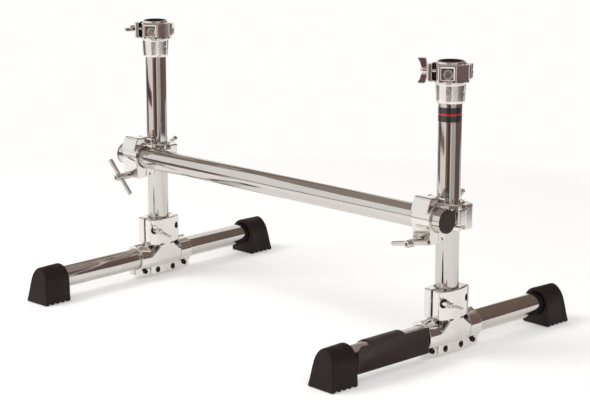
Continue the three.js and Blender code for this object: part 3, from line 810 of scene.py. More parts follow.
@dataclass(frozen=True)
class Stand:
    """Where one stand is and how its parts are turned, in millimetres and degrees. Its name is the
    word that its CAD nodes start with."""

    name: str
    foot_shift: float
    base_turn: float
    wing_turn: float
    top_wing_turn: float
    bar_rod_turn: float
    post_rod_turn: float
    top_turn: float = 32.0

    def centre(self) -> Vector:
        """Gives the upright's axis at the floor, in millimetres.

        Returns:
            The place.
        """
        low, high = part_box(f"{self.name}_upright")
        middle = (low + high) / (2 * MM)
        return Vector((middle.x, middle.y, 0.0))

    def upright(self, height: float = 0.0, turn: float = 0.0) -> Matrix:
        """Gives the place on the upright's axis at a height, turned by some degrees."""
        place = Matrix.Translation(self.centre() + Vector((0.0, 0.0, height)))
        return place @ Matrix.Rotation(math.radians(turn), 4, "Z")

    def base(self, spot: Place = (0.0, 0.0, 0.0)) -> Matrix:
        """Gives a spot on the turned base."""
        return self.upright(turn=self.base_turn) @ Matrix.Translation(spot)

    def top(self) -> Matrix:
        """Gives the place of the turned top clamp."""
        return self.upright(turn=self.top_turn)


STANDS = (
    Stand("left", -9.35, 0.0, -34.0, 90.0, -46.0, 34.0),
    Stand("right", -0.6, -2.94, -21.0, 0.0, 11.0, 50.0),
)
ENDS = (("front", -1), ("rear", 1))


@dataclass(frozen=True)
class Tubing:
    """The tube stock that the whole rack is made of, in millimetres."""

    radius: float = 19.05
    wall: float = 1.6
    edge: float = 0.5
    axis_height: float = 37.54

    def form(self, low: float, high: float) -> Solid:
        """Makes a tube along Z with eased edges.

        Args:
            low: Its lower end.
            high: Its upper end.

        Returns:
            The tube.
        """
        inner, edge = self.radius - self.wall, self.edge
        return turned([
            (inner, low + edge), (inner + edge, low), *eased(self.radius, low, high, edge),
            (inner + edge, high), (inner, high - edge), (inner, low + edge)], TUBE_SIDES)

    def bore(self, axis: Axis, low: float, high: float, centre: Point = MIDDLE) -> Solid:
        """Makes what a casting is cut by to let the tube through."""
        return rod(self.radius + GAP, axis, low, high, centre, BROAD_SIDES)


TUBE = Tubing()
FOOT_AXIS = (0.0, TUBE.axis_height)


@dataclass(frozen=True)
class SocketScrew:
    """A round-headed screw along Z with a hexagon socket, whose key size is over its corners."""

    radius: float
    seat: float
    top: float
    shank: float
    bottom: float
    key: float
    point: Point = (0.4, 0.5)
    seat_ease: float = 0.25
    brim: float = 0.35
    lip: float = 0.05
    most_edge: float = 0.7
    depth_share: float = 0.75

    def form(self) -> Solid:
        """Turns the screw and sinks its socket.

        Returns:
            The screw.
        """
        radius, seat, top, key, shank = self.radius, self.seat, self.top, self.key, self.shank
        edge = min(self.most_edge, (top - seat) / 3)
        head = turned([
            (0.0, self.bottom), (shank - self.point[0], self.bottom), (shank, self.bottom + self.point[1]),
            (shank, seat), (radius - self.seat_ease, seat), (radius, seat + self.seat_ease),
            *eased(radius, seat, top, edge)[3:], (key + self.brim, top), (key + self.lip, top - self.brim),
            (0.0, top - self.brim)])
        depth = (top - seat) * self.depth_share
        return head.cut(prism(circle(key, HEXAGON), Axis.Z, top - depth, top + OVERRUN))


@dataclass(frozen=True)
class HexNut:
    """A hexagon nut along Z with its bolt's end in it. Its radius is over its corners."""

    radius: float
    low: float
    high: float
    bolt: float
    crown: Point = (0.87, 0.9)
    tip: Point = (0.5, 0.4)
    seam: float = 0.1

    def form(self) -> Solid:
        """Makes the nut.

        Returns:
            The nut.
        """
        radius, low, high, bolt = self.radius, self.low, self.high, self.bolt
        share, drop = self.crown
        ease, rise = self.tip
        crown = turned([
            (0.0, low), (radius, low), (radius, high - drop), (radius * share, high), (0.0, high)])
        nut = prism(circle(radius, HEXAGON), Axis.Z, low, high).keep(crown)
        hole = rod(bolt + GAP, Axis.Z, low - OVERRUN, high + OVERRUN, MIDDLE, SCREW_SIDES)
        end = turned([
            (0.0, low), (bolt, low), (bolt, high - self.seam), (bolt - ease, high + rise), (0.0, high + rise),
        ], SCREW_SIDES)
        return nut.cut(hole).pooled(end)


@dataclass(frozen=True)
class RubberFoot:
    """A moulded foot with a toothed sole, drawn with its closed end towards +Y."""

    length: float = 55.3
    half_width: float = 27.8
    half_span: float = 280.0
    arch: float = 26.3
    teeth: int = 5
    groove_depth: float = 4.3
    groove_mouth: float = 6.2
    groove_floor: float = 3.4
    set_back: float = 9.7
    taper: float = 0.3
    socket: float = 45.5
    below: float = 3.0
    cells: Point = (1.1, 0.95)
    passes: tuple[int, int] = (10, 3)

    def _drafted(self, corner: Vector) -> Place:
        """Leans a corner of the block back and in."""
        rise, along = corner.z / (TUBE.axis_height + self.arch), corner.y / self.length
        return corner.x * (1 - self.taper * rise * along), corner.y - self.set_back * rise * along, corner.z

    def _groove(self, place: float) -> Solid:
        """Draws one groove of the sole.

        Args:
            place: Where its middle is along the foot.

        Returns:
            What the groove cuts out.
        """
        mouth, floor, below, reach = self.groove_mouth / 2, self.groove_floor / 2, -self.below, 40.0
        return prism([
            (place - mouth, below), (place + mouth, below), (place + mouth, 0.0),
            (place + floor, self.groove_depth), (place - floor, self.groove_depth), (place - mouth, 0.0),
        ], Axis.X, -reach, reach)

    def form(self) -> Solid:
        """Moulds the foot.

        Returns:
            The foot, open at y = 0.
        """
        arch = arc(self.arch, 0, 180, SCREW_SIDES, FOOT_AXIS)
        block = prism([(self.half_width, 0.0), *arch, (-self.half_width, 0.0)], Axis.Y, 0.0, self.length)
        pitch = self.length / self.teeth
        grooves = [self._groove(pitch * index) for index in range(1, self.teeth)]
        socket = TUBE.bore(Axis.Y, -self.below, self.socket, FOOT_AXIS)
        block = block.cast(self.cells[0], self.passes[0]).warped(self._drafted)
        return block.cut(socket, *grooves).cast(self.cells[1], self.passes[1])

    def build(self) -> None:
        """Puts the four feet into the scene."""
        form = self.form()
        for stand in STANDS:
            for end, sign in reversed(ENDS):
                place = stand.base((0.0, stand.foot_shift + sign * (self.half_span - self.length), 0.0))
                if sign < 0:
                    place = place @ Matrix.Rotation(math.pi, 4, "Z")
                node = f"{stand.name}_foot_{end}"
                show(f"{node}_rubber", form, place, RUBBER, f"{stand.name}_base", node, sharp=None)


@dataclass(frozen=True)
class BaseClamp:
    """The split casting that holds an upright on its foot tube, with its screws. Holes, sinks and
    pockets are given by their radius and the floor they are sunk to."""

    slit: float = 3.7
    half_depth: float = 35.0
    edge: float = 16.5
    crown: float = 23.8
    top: float = 110.0
    shoulder: float = 62.0
    bore_drop: float = 0.5
    waist: float = 60.6
    waist_half: float = 13.0
    flare: float = 44.0
    foot: float = 5.0
    flange: float = 17.5
    wrap: float = 24.0
    corner: float = 3.0
    wing_place: Point = (-26.6, 90.0)
    hex_place: Point = (26.6, 90.5)
    bolt_place: Point = (18.4, 13.3)
    bottom: float = -12.0
    upper_hole: float = 3.3
    lower_hole: float = 2.8
    wing_sink: Point = (7.0, 13.5)
    hex_pocket: Point = (6.1, 12.0)
    bolt_sink: Point = (5.4, 13.6)
    hex_screw: SocketScrew = SocketScrew(5.4, 12.3, 14.0, 3.0, -12.0, 3.0)
    lower_screw: SocketScrew = SocketScrew(3.9, 13.9, 16.6, 2.5, -12.0, 2.0)
    # A blackened ring in the wing bolt's sink, which stands for the shade in that recess: painted shade.
    painted_shade_washer: Outline = (
        (4.8, 13.6), (6.7, 13.6), (6.9, 13.8), (6.9, 15.4), (6.7, 15.6), (4.8, 15.6), (4.8, 13.6))

    def _blank(self) -> Solid:
        """Draws one half before it is bored, on the +X side.

        Returns:
            The half.
        """
        depth, waist = self.half_depth, self.waist_half
        right = [(depth, self.foot), (depth, self.flare), (waist, self.waist), (depth, self.shoulder),
                 (depth, self.top)]
        side = rounded([(-depth, self.foot), *right, *[(-y, z) for y, z in reversed(right[1:])]], self.corner)
        slab = prism(side, Axis.X, self.slit / 2, self.wrap + OVERRUN)
        rise = self.crown - self.edge
        bow = (depth ** 2 + rise ** 2) / (2 * rise)
        angle = math.degrees(math.asin(depth / bow))
        plan = [(0.0, -depth), *arc(bow, -angle, angle, 32, (self.crown - bow, 0.0)), (0.0, depth)]
        upper = prism(plan, Axis.Z, self.waist - self.corner, self.top + OVERRUN)
        angle = math.degrees(math.acos(self.flange / self.wrap))
        section = [
            (0.0, self.foot), (self.flange, self.foot), *arc(self.wrap, -angle, 0, 20, FOOT_AXIS),
            (self.wrap, self.waist), (0.0, self.waist)]
        lower = prism(section, Axis.Y, -depth, depth)
        return slab.keep(upper).pooled(slab.keep(lower)).cast(0.75, 0)

    def half(self, outer: bool) -> Solid:
        """Casts one half of the clamp.

        Args:
            outer: True for the half towards +X, which carries the screws' heads.

        Returns:
            The casting.
        """
        blank = self._blank()
        if not outer:
            blank = blank.moved(Matrix.Rotation(math.pi, 4, "Z"))
        reach = self.half_depth + OVERRUN
        upper_bore = TUBE.bore(Axis.Z, self.shoulder - self.bore_drop, self.top + OVERRUN)
        lower_bore = TUBE.bore(Axis.Y, -reach, reach, FOOT_AXIS)
        soft = blank.cut(upper_bore, lower_bore).cast(0.75, 7)
        far, near = self.wrap + OVERRUN + 1, self.bottom
        wing, hexagon, (pocket, floor) = self.wing_place, self.hex_place, self.hex_pocket
        tools = [
            rod(self.upper_hole, Axis.X, near, far, wing, HOLE_SIDES),
            rod(self.wing_sink[0], Axis.X, self.wing_sink[1], far, wing),
            rod(self.upper_hole, Axis.X, near, far, hexagon, HOLE_SIDES),
            prism([(hexagon[0] + b, hexagon[1] + a) for a, b in circle(pocket, HEXAGON)], Axis.X, floor, far)]
        for _, sign in ENDS:
            place = (sign * self.bolt_place[0], self.bolt_place[1])
            tools += [
                rod(self.lower_hole, Axis.X, near, far, place, HOLE_SIDES),
                rod(self.bolt_sink[0], Axis.X, self.bolt_sink[1], far, place, SCREW_SIDES)]
        return soft.cut(*tools).cast(0.78, 2)

    def build(self) -> None:
        """Puts both base clamps and their screws into the scene."""
        halves = {"outer": self.half(True), "inner": self.half(False)}
        hexagon, lower, painted_shade_washer = self.hex_screw.form(), self.lower_screw.form(), turned(self.painted_shade_washer)
        along = FACING[Axis.X]
        for stand in STANDS:
            side, body = stand.name, f"{stand.name}_base"
            for label, casting in halves.items():
                node = f"{side}_base_clamp_{label}"
                show(f"{node}_casting", casting, stand.base(), CAST, body, node, sharp=None)
            place = stand.base((0.0, *self.hex_place)) @ along
            show(f"{side}_base_hex_head", hexagon, place, BLACKED, body, f"{side}_base_hex_screw")
            # The blackened ring round the wing bolt is painted shade in its sink.
            show(f"{side}_base_washer", painted_shade_washer, stand.base((0.0, *self.wing_place)) @ along, BLACKED, body)
            for end, sign in ENDS:
                place = stand.base((0.0, sign * self.bolt_place[0], self.bolt_place[1])) @ along
                show(f"{side}_base_screw_{end}", lower, place, BLACKED, body, f"{side}_base_bolt_{end}")


@dataclass(frozen=True)
class WingSizes:
    """One arm of a cast wing, across and along its bolt."""

    root_low: float
    root_high: float
    tip_low: float
    tip_high: float
    reach: float
    thickness: float
    core: float
    sag_low: float = 0.6
    sag_high: float = 1.2
    corner: float = 3.4

    def plate(self) -> Solid:
        """Makes both arms, across Y, with a scalloped middle.

        Returns:
            The wing.
        """
        middle_low = (self.root_low + self.tip_low) / 2 - self.sag_low
        middle_high = (self.root_high + self.tip_high) / 2 - self.sag_high
        across, root = (self.core + self.reach) / 2, self.core - 1.0
        half = [
            (root, self.root_low), (across, middle_low), (self.reach, self.tip_low),
            (self.reach, self.tip_high), (across, middle_high), (root, self.root_high)]
        outline = rounded([*half, *[(-a, b) for a, b in reversed(half)]], self.corner, 8)
        return prism(outline, Axis.Y, -self.thickness / 2, self.thickness / 2)


@dataclass(frozen=True)
class BaseWingBolt:
    """The wing bolt that closes a base clamp on its upright, seated at z = 0."""

    wing: WingSizes = WingSizes(11.5, 22.0, 21.0, 32.5, 21.5, 5.0, 4.5)
    seat: Place = (13.8, -26.6, 90.0)
    barrel: Outline = (
        (0.0, 0.0), (4.6, 0.0), (4.6, 1.4), (4.1, 2.0), (4.1, 9.5), (4.6, 10.5), (4.6, 23.4), (3.9, 24.2),
        (2.7, 24.2), (2.6, 15.2), (0.0, 15.2))
    shank: Outline = ((0.0, -25.8), (2.6, -25.8), (3.0, -25.3), (3.0, 1.0), (0.0, 1.0))

    def build(self) -> None:
        """Puts one bolt on each base clamp."""
        form = self.wing.plate().pooled(turned(self.barrel)).cast(0.4, 4)
        form = form.join(turned(self.shank, SCREW_SIDES))
        for stand in STANDS:
            node = f"{stand.name}_base_wing"
            place = stand.base() @ aimed(self.seat, TO_RIGHT, leaning(stand.wing_turn))
            show(node, form, place, CAST, node, f"{node}_bolt", sharp=40.0)


@dataclass(frozen=True)
class MemoryLock:
    """The hinged ring on each side of a base clamp that keeps the foot tube's place."""

    length: float = 25.4
    radius: float = 24.5
    nub_radius: float = 4.0
    nub_height: float = 60.2
    hinge_shares: Point = (0.33, 0.64)
    hinge_width: float = 0.8
    lug_half: float = 15.0
    lug_foot: float = 6.0
    slit: float = 2.0
    bolt_height: float = 14.5
    bolt_hole: float = 2.8
    clamp_half: float = 35.3
    screw: SocketScrew = SocketScrew(4.2, 15.3, 18.1, 2.5, -11.0, 2.3)

    def form(self) -> Solid:
        """Casts the ring, from y = 0.

        Returns:
            The ring.
        """
        length, axis, past = self.length, TUBE.axis_height, self.length + OVERRUN
        body = rod(self.radius, Axis.Y, 0.0, length, FOOT_AXIS, BROAD_SIDES)
        nub = rod(self.nub_radius, Axis.Y, 0.0, length, (0.0, self.nub_height), HOLE_SIDES)
        lug = prism(rectangle((-self.lug_half, self.lug_foot), (self.lug_half, axis)), Axis.Y, 0.0, length)
        gap = rectangle((-self.slit / 2, self.lug_foot - OVERRUN), (self.slit / 2, axis))
        slit = prism(gap, Axis.Y, -OVERRUN, past)
        hinge = [
            rod(self.nub_radius + 2, Axis.Y, length * share, length * share + self.hinge_width,
                (0.0, self.nub_height + 1.0), HOLE_SIDES)
            for share in self.hinge_shares]
        spot = (length / 2, self.bolt_height)
        bolt = rod(self.bolt_hole, Axis.X, -12.0, self.lug_half + OVERRUN, spot, HOLE_SIDES)
        bore = TUBE.bore(Axis.Y, -OVERRUN, past, FOOT_AXIS)
        return body.pooled(nub, lug).cast(0.55, 0).cut(slit, bolt, bore, *hinge).cast(0.72, 3)

    def build(self) -> None:
        """Puts the four locks and their screws into the scene."""
        ring, screw = self.form(), self.screw.form()
        for stand in STANDS:
            body = f"{stand.name}_base"
            for end, sign in ENDS:
                middle = sign * (self.clamp_half + self.length / 2)
                node = f"{stand.name}_lock_{end}"
                place = stand.base((0.0, middle - self.length / 2, 0.0))
                show(f"{node}_ring", ring, place, CAST, body, node, sharp=None)
                spot = stand.base((0.0, middle, self.bolt_height)) @ FACING[Axis.X]
                show(f"{node}_screw", screw, spot, BLACKED, body, f"{node}_bolt")


@dataclass(frozen=True)
class Ring:
    """What differs between a rack clamp's two rings, in the ring's own u, v and w: half its length,
    where its hinge's middle knuckle starts and ends, the hinge's place, and how deep and how far in
    the panel in its crown lies, and its frame on the clamp."""

    half: float
    low: float
    high: float
    hinge: Point
    panel_depth: float
    panel_inset: Point
    frame: Matrix


@dataclass(frozen=True)
class SwingBolt:
    """The threaded bolt that swings on a cross pin. Each crest and root is given by how far it lies
    under the bolt's radius and its share of the pitch."""

    radius: float = 3.0
    eye_radius: float = 5.0
    eye_half: float = 3.9
    eye_sides: int = 47
    pin_radius: float = 2.0
    pin_sides: int = 30
    length: float = 51.0
    neck: float = 0.1
    start: float = 14.0
    pitch: float = 1.25
    crest: Point = (0.0, 0.3)
    root: Point = (0.45, 0.8)
    tip: float = 0.7
    twist: float = -90.0 + math.degrees(0.03)

    def form(self, pivot: Point, pin_half: float) -> Solid:
        """Makes the bolt.

        Args:
            pivot: The pin's place, in its ring's u and v.
            pin_half: Half the pin's length.

        Returns:
            The bolt, in its ring's own frame.
        """
        eye = rod(self.eye_radius, Axis.Z, -self.eye_half, self.eye_half, pivot, self.eye_sides, 0.6)
        pin = rod(self.pin_radius, Axis.Z, -pin_half, pin_half, pivot, self.pin_sides, 0.4)
        neck = self.radius - self.neck
        profile: list[Point] = [(0.0, 0.4), (neck, 0.4), (neck, self.start)]
        for index in range(int((self.length - self.start - 1) / self.pitch)):
            low = self.start + index * self.pitch
            for depth, share in (self.crest, self.root):
                profile.append((self.radius - depth, low + self.pitch * share))
        profile += [(self.radius - self.tip, self.length), (0.0, self.length)]
        shank = turned(profile, SCREW_SIDES).moved(aimed((*pivot, 0.0), TO_RIGHT, leaning(self.twist)))
        return eye.join(pin, shank)


@dataclass(frozen=True)
class Handle:
    """A barrel nut with its cross rod, seated at z = 0, with the rod along X. The rod's end is given
    by how far in each corner lies, from its side and from its end."""

    barrel: Outline = (
        (0.0, 0.0), (4.5, 0.0), (4.75, 0.3), (6.15, 3.8), (6.15, 12.0), (5.75, 12.4), (5.75, 13.6),
        (6.15, 14.0), (6.15, 34.6), (5.9, 35.6), (5.1, 36.2), (3.1, 36.2), (2.6, 35.7), (2.6, 31.0),
        (0.0, 30.2))
    barrel_sides: int = 64
    rod_half: float = 38.3
    rod_radius: float = 4.0
    rod_height: float = 25.5
    rod_end: Outline = ((1.4, 0.0), (0.55, 0.3), (0.12, 0.9), (0.0, 1.7))

    def form(self, thread: float, depth: float) -> Solid:
        """Makes the handle.

        Args:
            thread: The radius of its threaded hole.
            depth: The hole's depth.

        Returns:
            The handle.
        """
        low = [(self.rod_radius - a, b - self.rod_half) for a, b in self.rod_end]
        high = [(radius, -height) for radius, height in reversed(low)]
        cross = turned([(0.0, -self.rod_half), *low, *high, (0.0, self.rod_half)])
        place = Matrix.Translation((0.0, 0.0, self.rod_height)) @ Matrix.Rotation(QUARTER_TURN, 4, "Y")
        hole = rod(thread, Axis.Z, -OVERRUN, depth, MIDDLE, HOLE_SIDES)
        return turned(self.barrel, self.barrel_sides).join(cross.moved(place)).cut(hole)


@dataclass(frozen=True)
class RackClamp:
    """The double clamp that carries the bar on an upright. Each ring is drawn in u, v and w, with u
    towards its cap, v towards its closing lugs and w along its tube."""

    outer: float = 25.0
    split: float = 0.6
    lug_reach: float = 37.5
    lug_root: float = 11.0
    lug_near: float = -2.0
    lug_far: float = -21.0
    lug_taper: float = 8.0
    lug_inset: float = 1.5
    cap_seat: float = 20.5
    slot_root: float = 26.2
    pivot: Point = (-10.0, 32.0)
    pivot_hole: float = 2.3
    bolt: SwingBolt = SwingBolt()
    handle: Handle = Handle()
    thread_gap: float = 0.35
    knuckle: float = 5.0
    web: Outline = ((-9.0, -12.0), (-24.0, -12.0))
    pin: float = 1.8
    pin_rise: float = 2.5
    pin_hollow: Outline = ((0.95, 0.0), (0.8, 0.8), (0.0, 0.8))
    arm_front: float = 12.0
    arm_root: float = -22.0
    arm_top: float = -30.0
    crown_back: Point = (-8.0, -34.5)
    crown_top: Point = (17.5, -37.0)
    crown_foot: Point = (28.0, -12.0)
    crown_corner: float = 4.6
    panel_corner: float = 2.2
    rim: float = 2.5
    setback: float = 44.0
    height: float = 229.6
    key_place: Place = (9.0, -23.5, 33.3)
    key_hole: float = 2.6
    key_half: float = 2.6
    key_collar: Outline = (
        (0.0, -2.4), (2.2, -2.4), (2.2, 0.0), (4.3, 0.0), (4.65, 0.35), (4.65, 2.2), (4.1, 3.0),
        (3.5, 3.6), (3.5, 7.0), (3.3, 7.3), (0.0, 7.3))
    key_head: Outline = ((0.0, 5.0), (3.9, 5.0), (3.9, 10.2), (2.9, 11.0), (0.0, 11.0))

    def rings(self) -> dict[str, Ring]:
        """Gives the two rings, by the tube that each is for.

        Returns:
            The rings.
        """
        bar = Matrix(((0, 0, 1, 0), (-1, 0, 0, -self.setback), (0, -1, 0, 0), (0, 0, 0, 1)))
        post = Matrix(((0, -1, 0, 0), (1, 0, 0, 0), (0, 0, 1, 0), (0, 0, 0, 1)))
        return {
            "bar": Ring(18.3, -11.0, 2.7, (-18.0, -28.0), 0.6, (3.2, 3.0), bar),
            "post": Ring(21.5, -12.5, 13.0, (-12.0, -31.0), 1.5, (-6.0, 7.5), post)}

    def _disc(self, side: int, half: float) -> Solid:
        """Draws half of the ring's disc, towards its cap or away from it.

        Args:
            side: 1 towards the cap, -1 away from it.
            half: Half the ring's length.

        Returns:
            The half disc.
        """
        lean = math.degrees(math.asin(self.split / 2 / self.outer))
        middle = 0 if side > 0 else 180
        return prism(arc(self.outer, middle - 90 + lean, middle + 90 - lean, 40), Axis.Z, -half, half)

    def _slot(self) -> Solid:
        """Draws the slot that the swing bolt closes into.

        Returns:
            What the slot cuts out.
        """
        half, back = self.bolt.eye_half + GAP, self.pivot[0] - self.bolt.eye_radius - GAP
        high = (self.cap_seat + OVERRUN, self.lug_reach + OVERRUN)
        return prism(rectangle((back, self.slot_root), high), Axis.Z, -half, half)

    def _fixed_half(self, ring: Ring) -> Solid:
        """Draws the ring's half on the clamp's body, with lugs and knuckles.

        Args:
            ring: The ring.

        Returns:
            The half, in the clamp's own frame.
        """
        half, lug_half, reach = ring.half, ring.half - self.lug_inset, self.lug_reach
        lug = prism([
            (self.lug_near, self.lug_root), (self.lug_near, reach), (self.lug_far + self.lug_taper, reach),
            (self.lug_far, reach - self.lug_taper), (self.lug_far, self.lug_root)],
            Axis.Z, -lug_half, lug_half)
        u, v = ring.hinge
        web = [(u - self.knuckle, v), (u + self.knuckle, v), *self.web]
        whole = self._disc(-1, half).pooled(lug)
        for low, high in ((-half, ring.low - GAP), (ring.high + GAP, half)):
            whole = whole.pooled(
                rod(self.knuckle, Axis.Z, low, high, ring.hinge, HOLE_SIDES), prism(web, Axis.Z, low, high))
        return whole.moved(ring.frame)

    def _fixed_cuts(self, ring: Ring) -> list[Solid]:
        """Gives what the ring's fixed half is cut by.

        Args:
            ring: The ring.

        Returns:
            The cutting bodies, in the clamp's own frame.
        """
        far = ring.half + OVERRUN
        tools = [
            TUBE.bore(Axis.Z, -far, far), self._slot(),
            rod(self.pin + GAP, Axis.Z, -far, far, ring.hinge, PIN_SIDES),
            rod(self.pivot_hole, Axis.Z, -far, far, self.pivot, PIN_SIDES)]
        return [tool.moved(ring.frame) for tool in tools]

    def casting(self) -> Solid:
        """Casts the clamp's body, about the upright's axis.

        Returns:
            The body.
        """
        near, (bar, post) = self.split / 2, self.rings().values()
        block = prism(
            rectangle((-bar.half, near - self.setback), (bar.half, -near)), Axis.Z, -post.half, post.half)
        whole = self._fixed_half(bar).pooled(self._fixed_half(post), block).cast(0.7, 0)
        key = rod(self.key_hole, Axis.Z, 30.0, 40.0, self.key_place[:2], PIN_SIDES)
        return whole.cut(*self._fixed_cuts(bar), *self._fixed_cuts(post), key).cast(0.7, 5)

    def _crown(self, ring: Ring) -> Solid:
        """Draws the square block over a cap's corner, with a framed panel or a channel in its face.

        Args:
            ring: The ring.

        Returns:
            The block.
        """
        half, back, top, foot = ring.half, self.crown_back, self.crown_top, self.crown_foot
        outline = rounded([back, top, foot, (back[0], foot[1])], self.crown_corner, 8)
        block = prism(outline, Axis.Z, -half, half - self.rim)
        run, rise = foot[0] - top[0], foot[1] - top[1]
        turn = Matrix.Rotation(-math.atan2(run, rise), 4, "Z")
        middle = turn.inverted() @ Vector(((top[0] + foot[0]) / 2, (top[1] + foot[1]) / 2, 0.0))
        across, along = ring.panel_inset
        reach = math.hypot(run, rise) / 2 - across
        panel = rounded(
            rectangle((middle.y - reach, along - half), (middle.y + reach, half - self.rim - along)),
            self.panel_corner)
        tool = prism(panel, Axis.X, middle.x - ring.panel_depth, middle.x + OVERRUN)
        return block.cast(0.6, 9).cut(tool.moved(turn))

    def cap(self, ring: Ring) -> Solid:
        """Casts a ring's hinged cap, in the ring's own frame.

        Args:
            ring: The ring it closes.

        Returns:
            The cap.
        """
        half, near, far = ring.half, self.split / 2, ring.half + OVERRUN
        edge = self.outer * math.cos(math.asin(self.lug_root / self.outer))
        lug = prism([
            (near, self.lug_root), (edge, self.lug_root), (self.cap_seat, self.slot_root),
            (self.cap_seat, self.lug_reach), (near, self.lug_reach)], Axis.Z, -half, half)
        clear = -self.outer - GAP - near
        u, v = ring.hinge
        arm = prism([
            (u, v - self.knuckle), (near, v - self.knuckle), (self.arm_front, self.arm_top),
            (self.arm_front, self.arm_root), (near, self.arm_root), (near, clear), (u + self.knuckle, clear),
            (u, v)], Axis.Z, ring.low, ring.high)
        knuckle = rod(self.knuckle, Axis.Z, ring.low, ring.high, ring.hinge, HOLE_SIDES)
        crown = self._crown(ring).keep(prism(rectangle((near, -60.0), (60.0, 60.0)), Axis.Z, -half, half))
        whole = self._disc(1, half).pooled(lug, arm, knuckle, crown).cast(0.6, 0)
        hinge = rod(self.pin + GAP, Axis.Z, -far, far, ring.hinge, PIN_SIDES)
        return whole.cut(TUBE.bore(Axis.Z, -far, far), self._slot(), hinge).cast(0.6, 3)

    def hinge_pin(self, ring: Ring) -> Solid:
        """Makes a hinge pin with a hollow end, in the ring's own frame.

        Args:
            ring: The ring whose cap it carries.

        Returns:
            The pin.
        """
        low, top = GAP - ring.half, ring.half - GAP + self.pin_rise
        hollow = [(radius, top - depth) for radius, depth in self.pin_hollow]
        pin = turned([
            (0.0, low), (self.pin, low), (self.pin, top - GAP), (self.pin - GAP, top), *hollow], HOLE_SIDES)
        return pin.moved(Matrix.Translation((*ring.hinge, 0.0)))

    def key_bolt(self) -> Solid:
        """Makes the square-headed key bolt, seated at z = 0.

        Returns:
            The bolt.
        """
        corner, low, high = (self.key_half, self.key_half), self.key_head[0][1], self.key_head[-1][1]
        square = prism(rectangle((-corner[0], -corner[1]), corner), Axis.Z, low, high)
        return turned(self.key_collar).join(square.keep(turned(self.key_head)))

    def build(self) -> None:
        """Puts both rack clamps and their handles into the scene."""
        rings, seat = self.rings(), self.cap_seat + GAP
        body_form = self.casting()
        caps = {name: self.cap(ring) for name, ring in rings.items()}
        bolts = {
            name: self.bolt.form(self.pivot, ring.half - self.lug_inset - 2 * GAP)
            for name, ring in rings.items()}
        pins = {name: self.hinge_pin(ring) for name, ring in rings.items()}
        depth = self.bolt.length + self.pivot[0] - self.cap_seat
        handle, key = self.handle.form(self.bolt.radius + self.thread_gap, depth), self.key_bolt()
        for stand in STANDS:
            side, place, body = stand.name, stand.upright(self.height), f"{stand.name}_rack_clamp"
            show(f"{side}_rack_casting", body_form, place, CAST, body, f"{side}_rack_clamp_body", sharp=None)
            for name, ring in rings.items():
                spot, node = place @ ring.frame, f"{side}_{name}"
                show(f"{node}_cap_casting", caps[name], spot, CAST, body, f"{node}_cap", sharp=None)
                show(f"{node}_swing", bolts[name], spot, STEEL, body, f"{node}_swing_bolt")
                show(f"{node}_pin", pins[name], spot, STEEL, body, f"{node}_hinge_pin")
            aims = {
                "bar": ((0.0, -self.setback - seat, -self.pivot[1]), TO_FRONT, stand.bar_rod_turn),
                "post": ((-self.pivot[1], seat, 0.0), TO_BACK, stand.post_rod_turn)}
            for name, (spot, forward, turn) in aims.items():
                angle, node = math.radians(turn), f"{side}_{name}"
                aim = place @ aimed(spot, forward, (math.cos(angle), 0.0, math.sin(angle)))
                show(f"{node}_handle_tee", handle, aim, BRIGHT, f"{node}_handle", f"{node}_t_handle")
            spot = place @ Matrix.Translation(self.key_place)
            show(f"{side}_key", key, spot, BRIGHT, body, f"{side}_key_bolt")


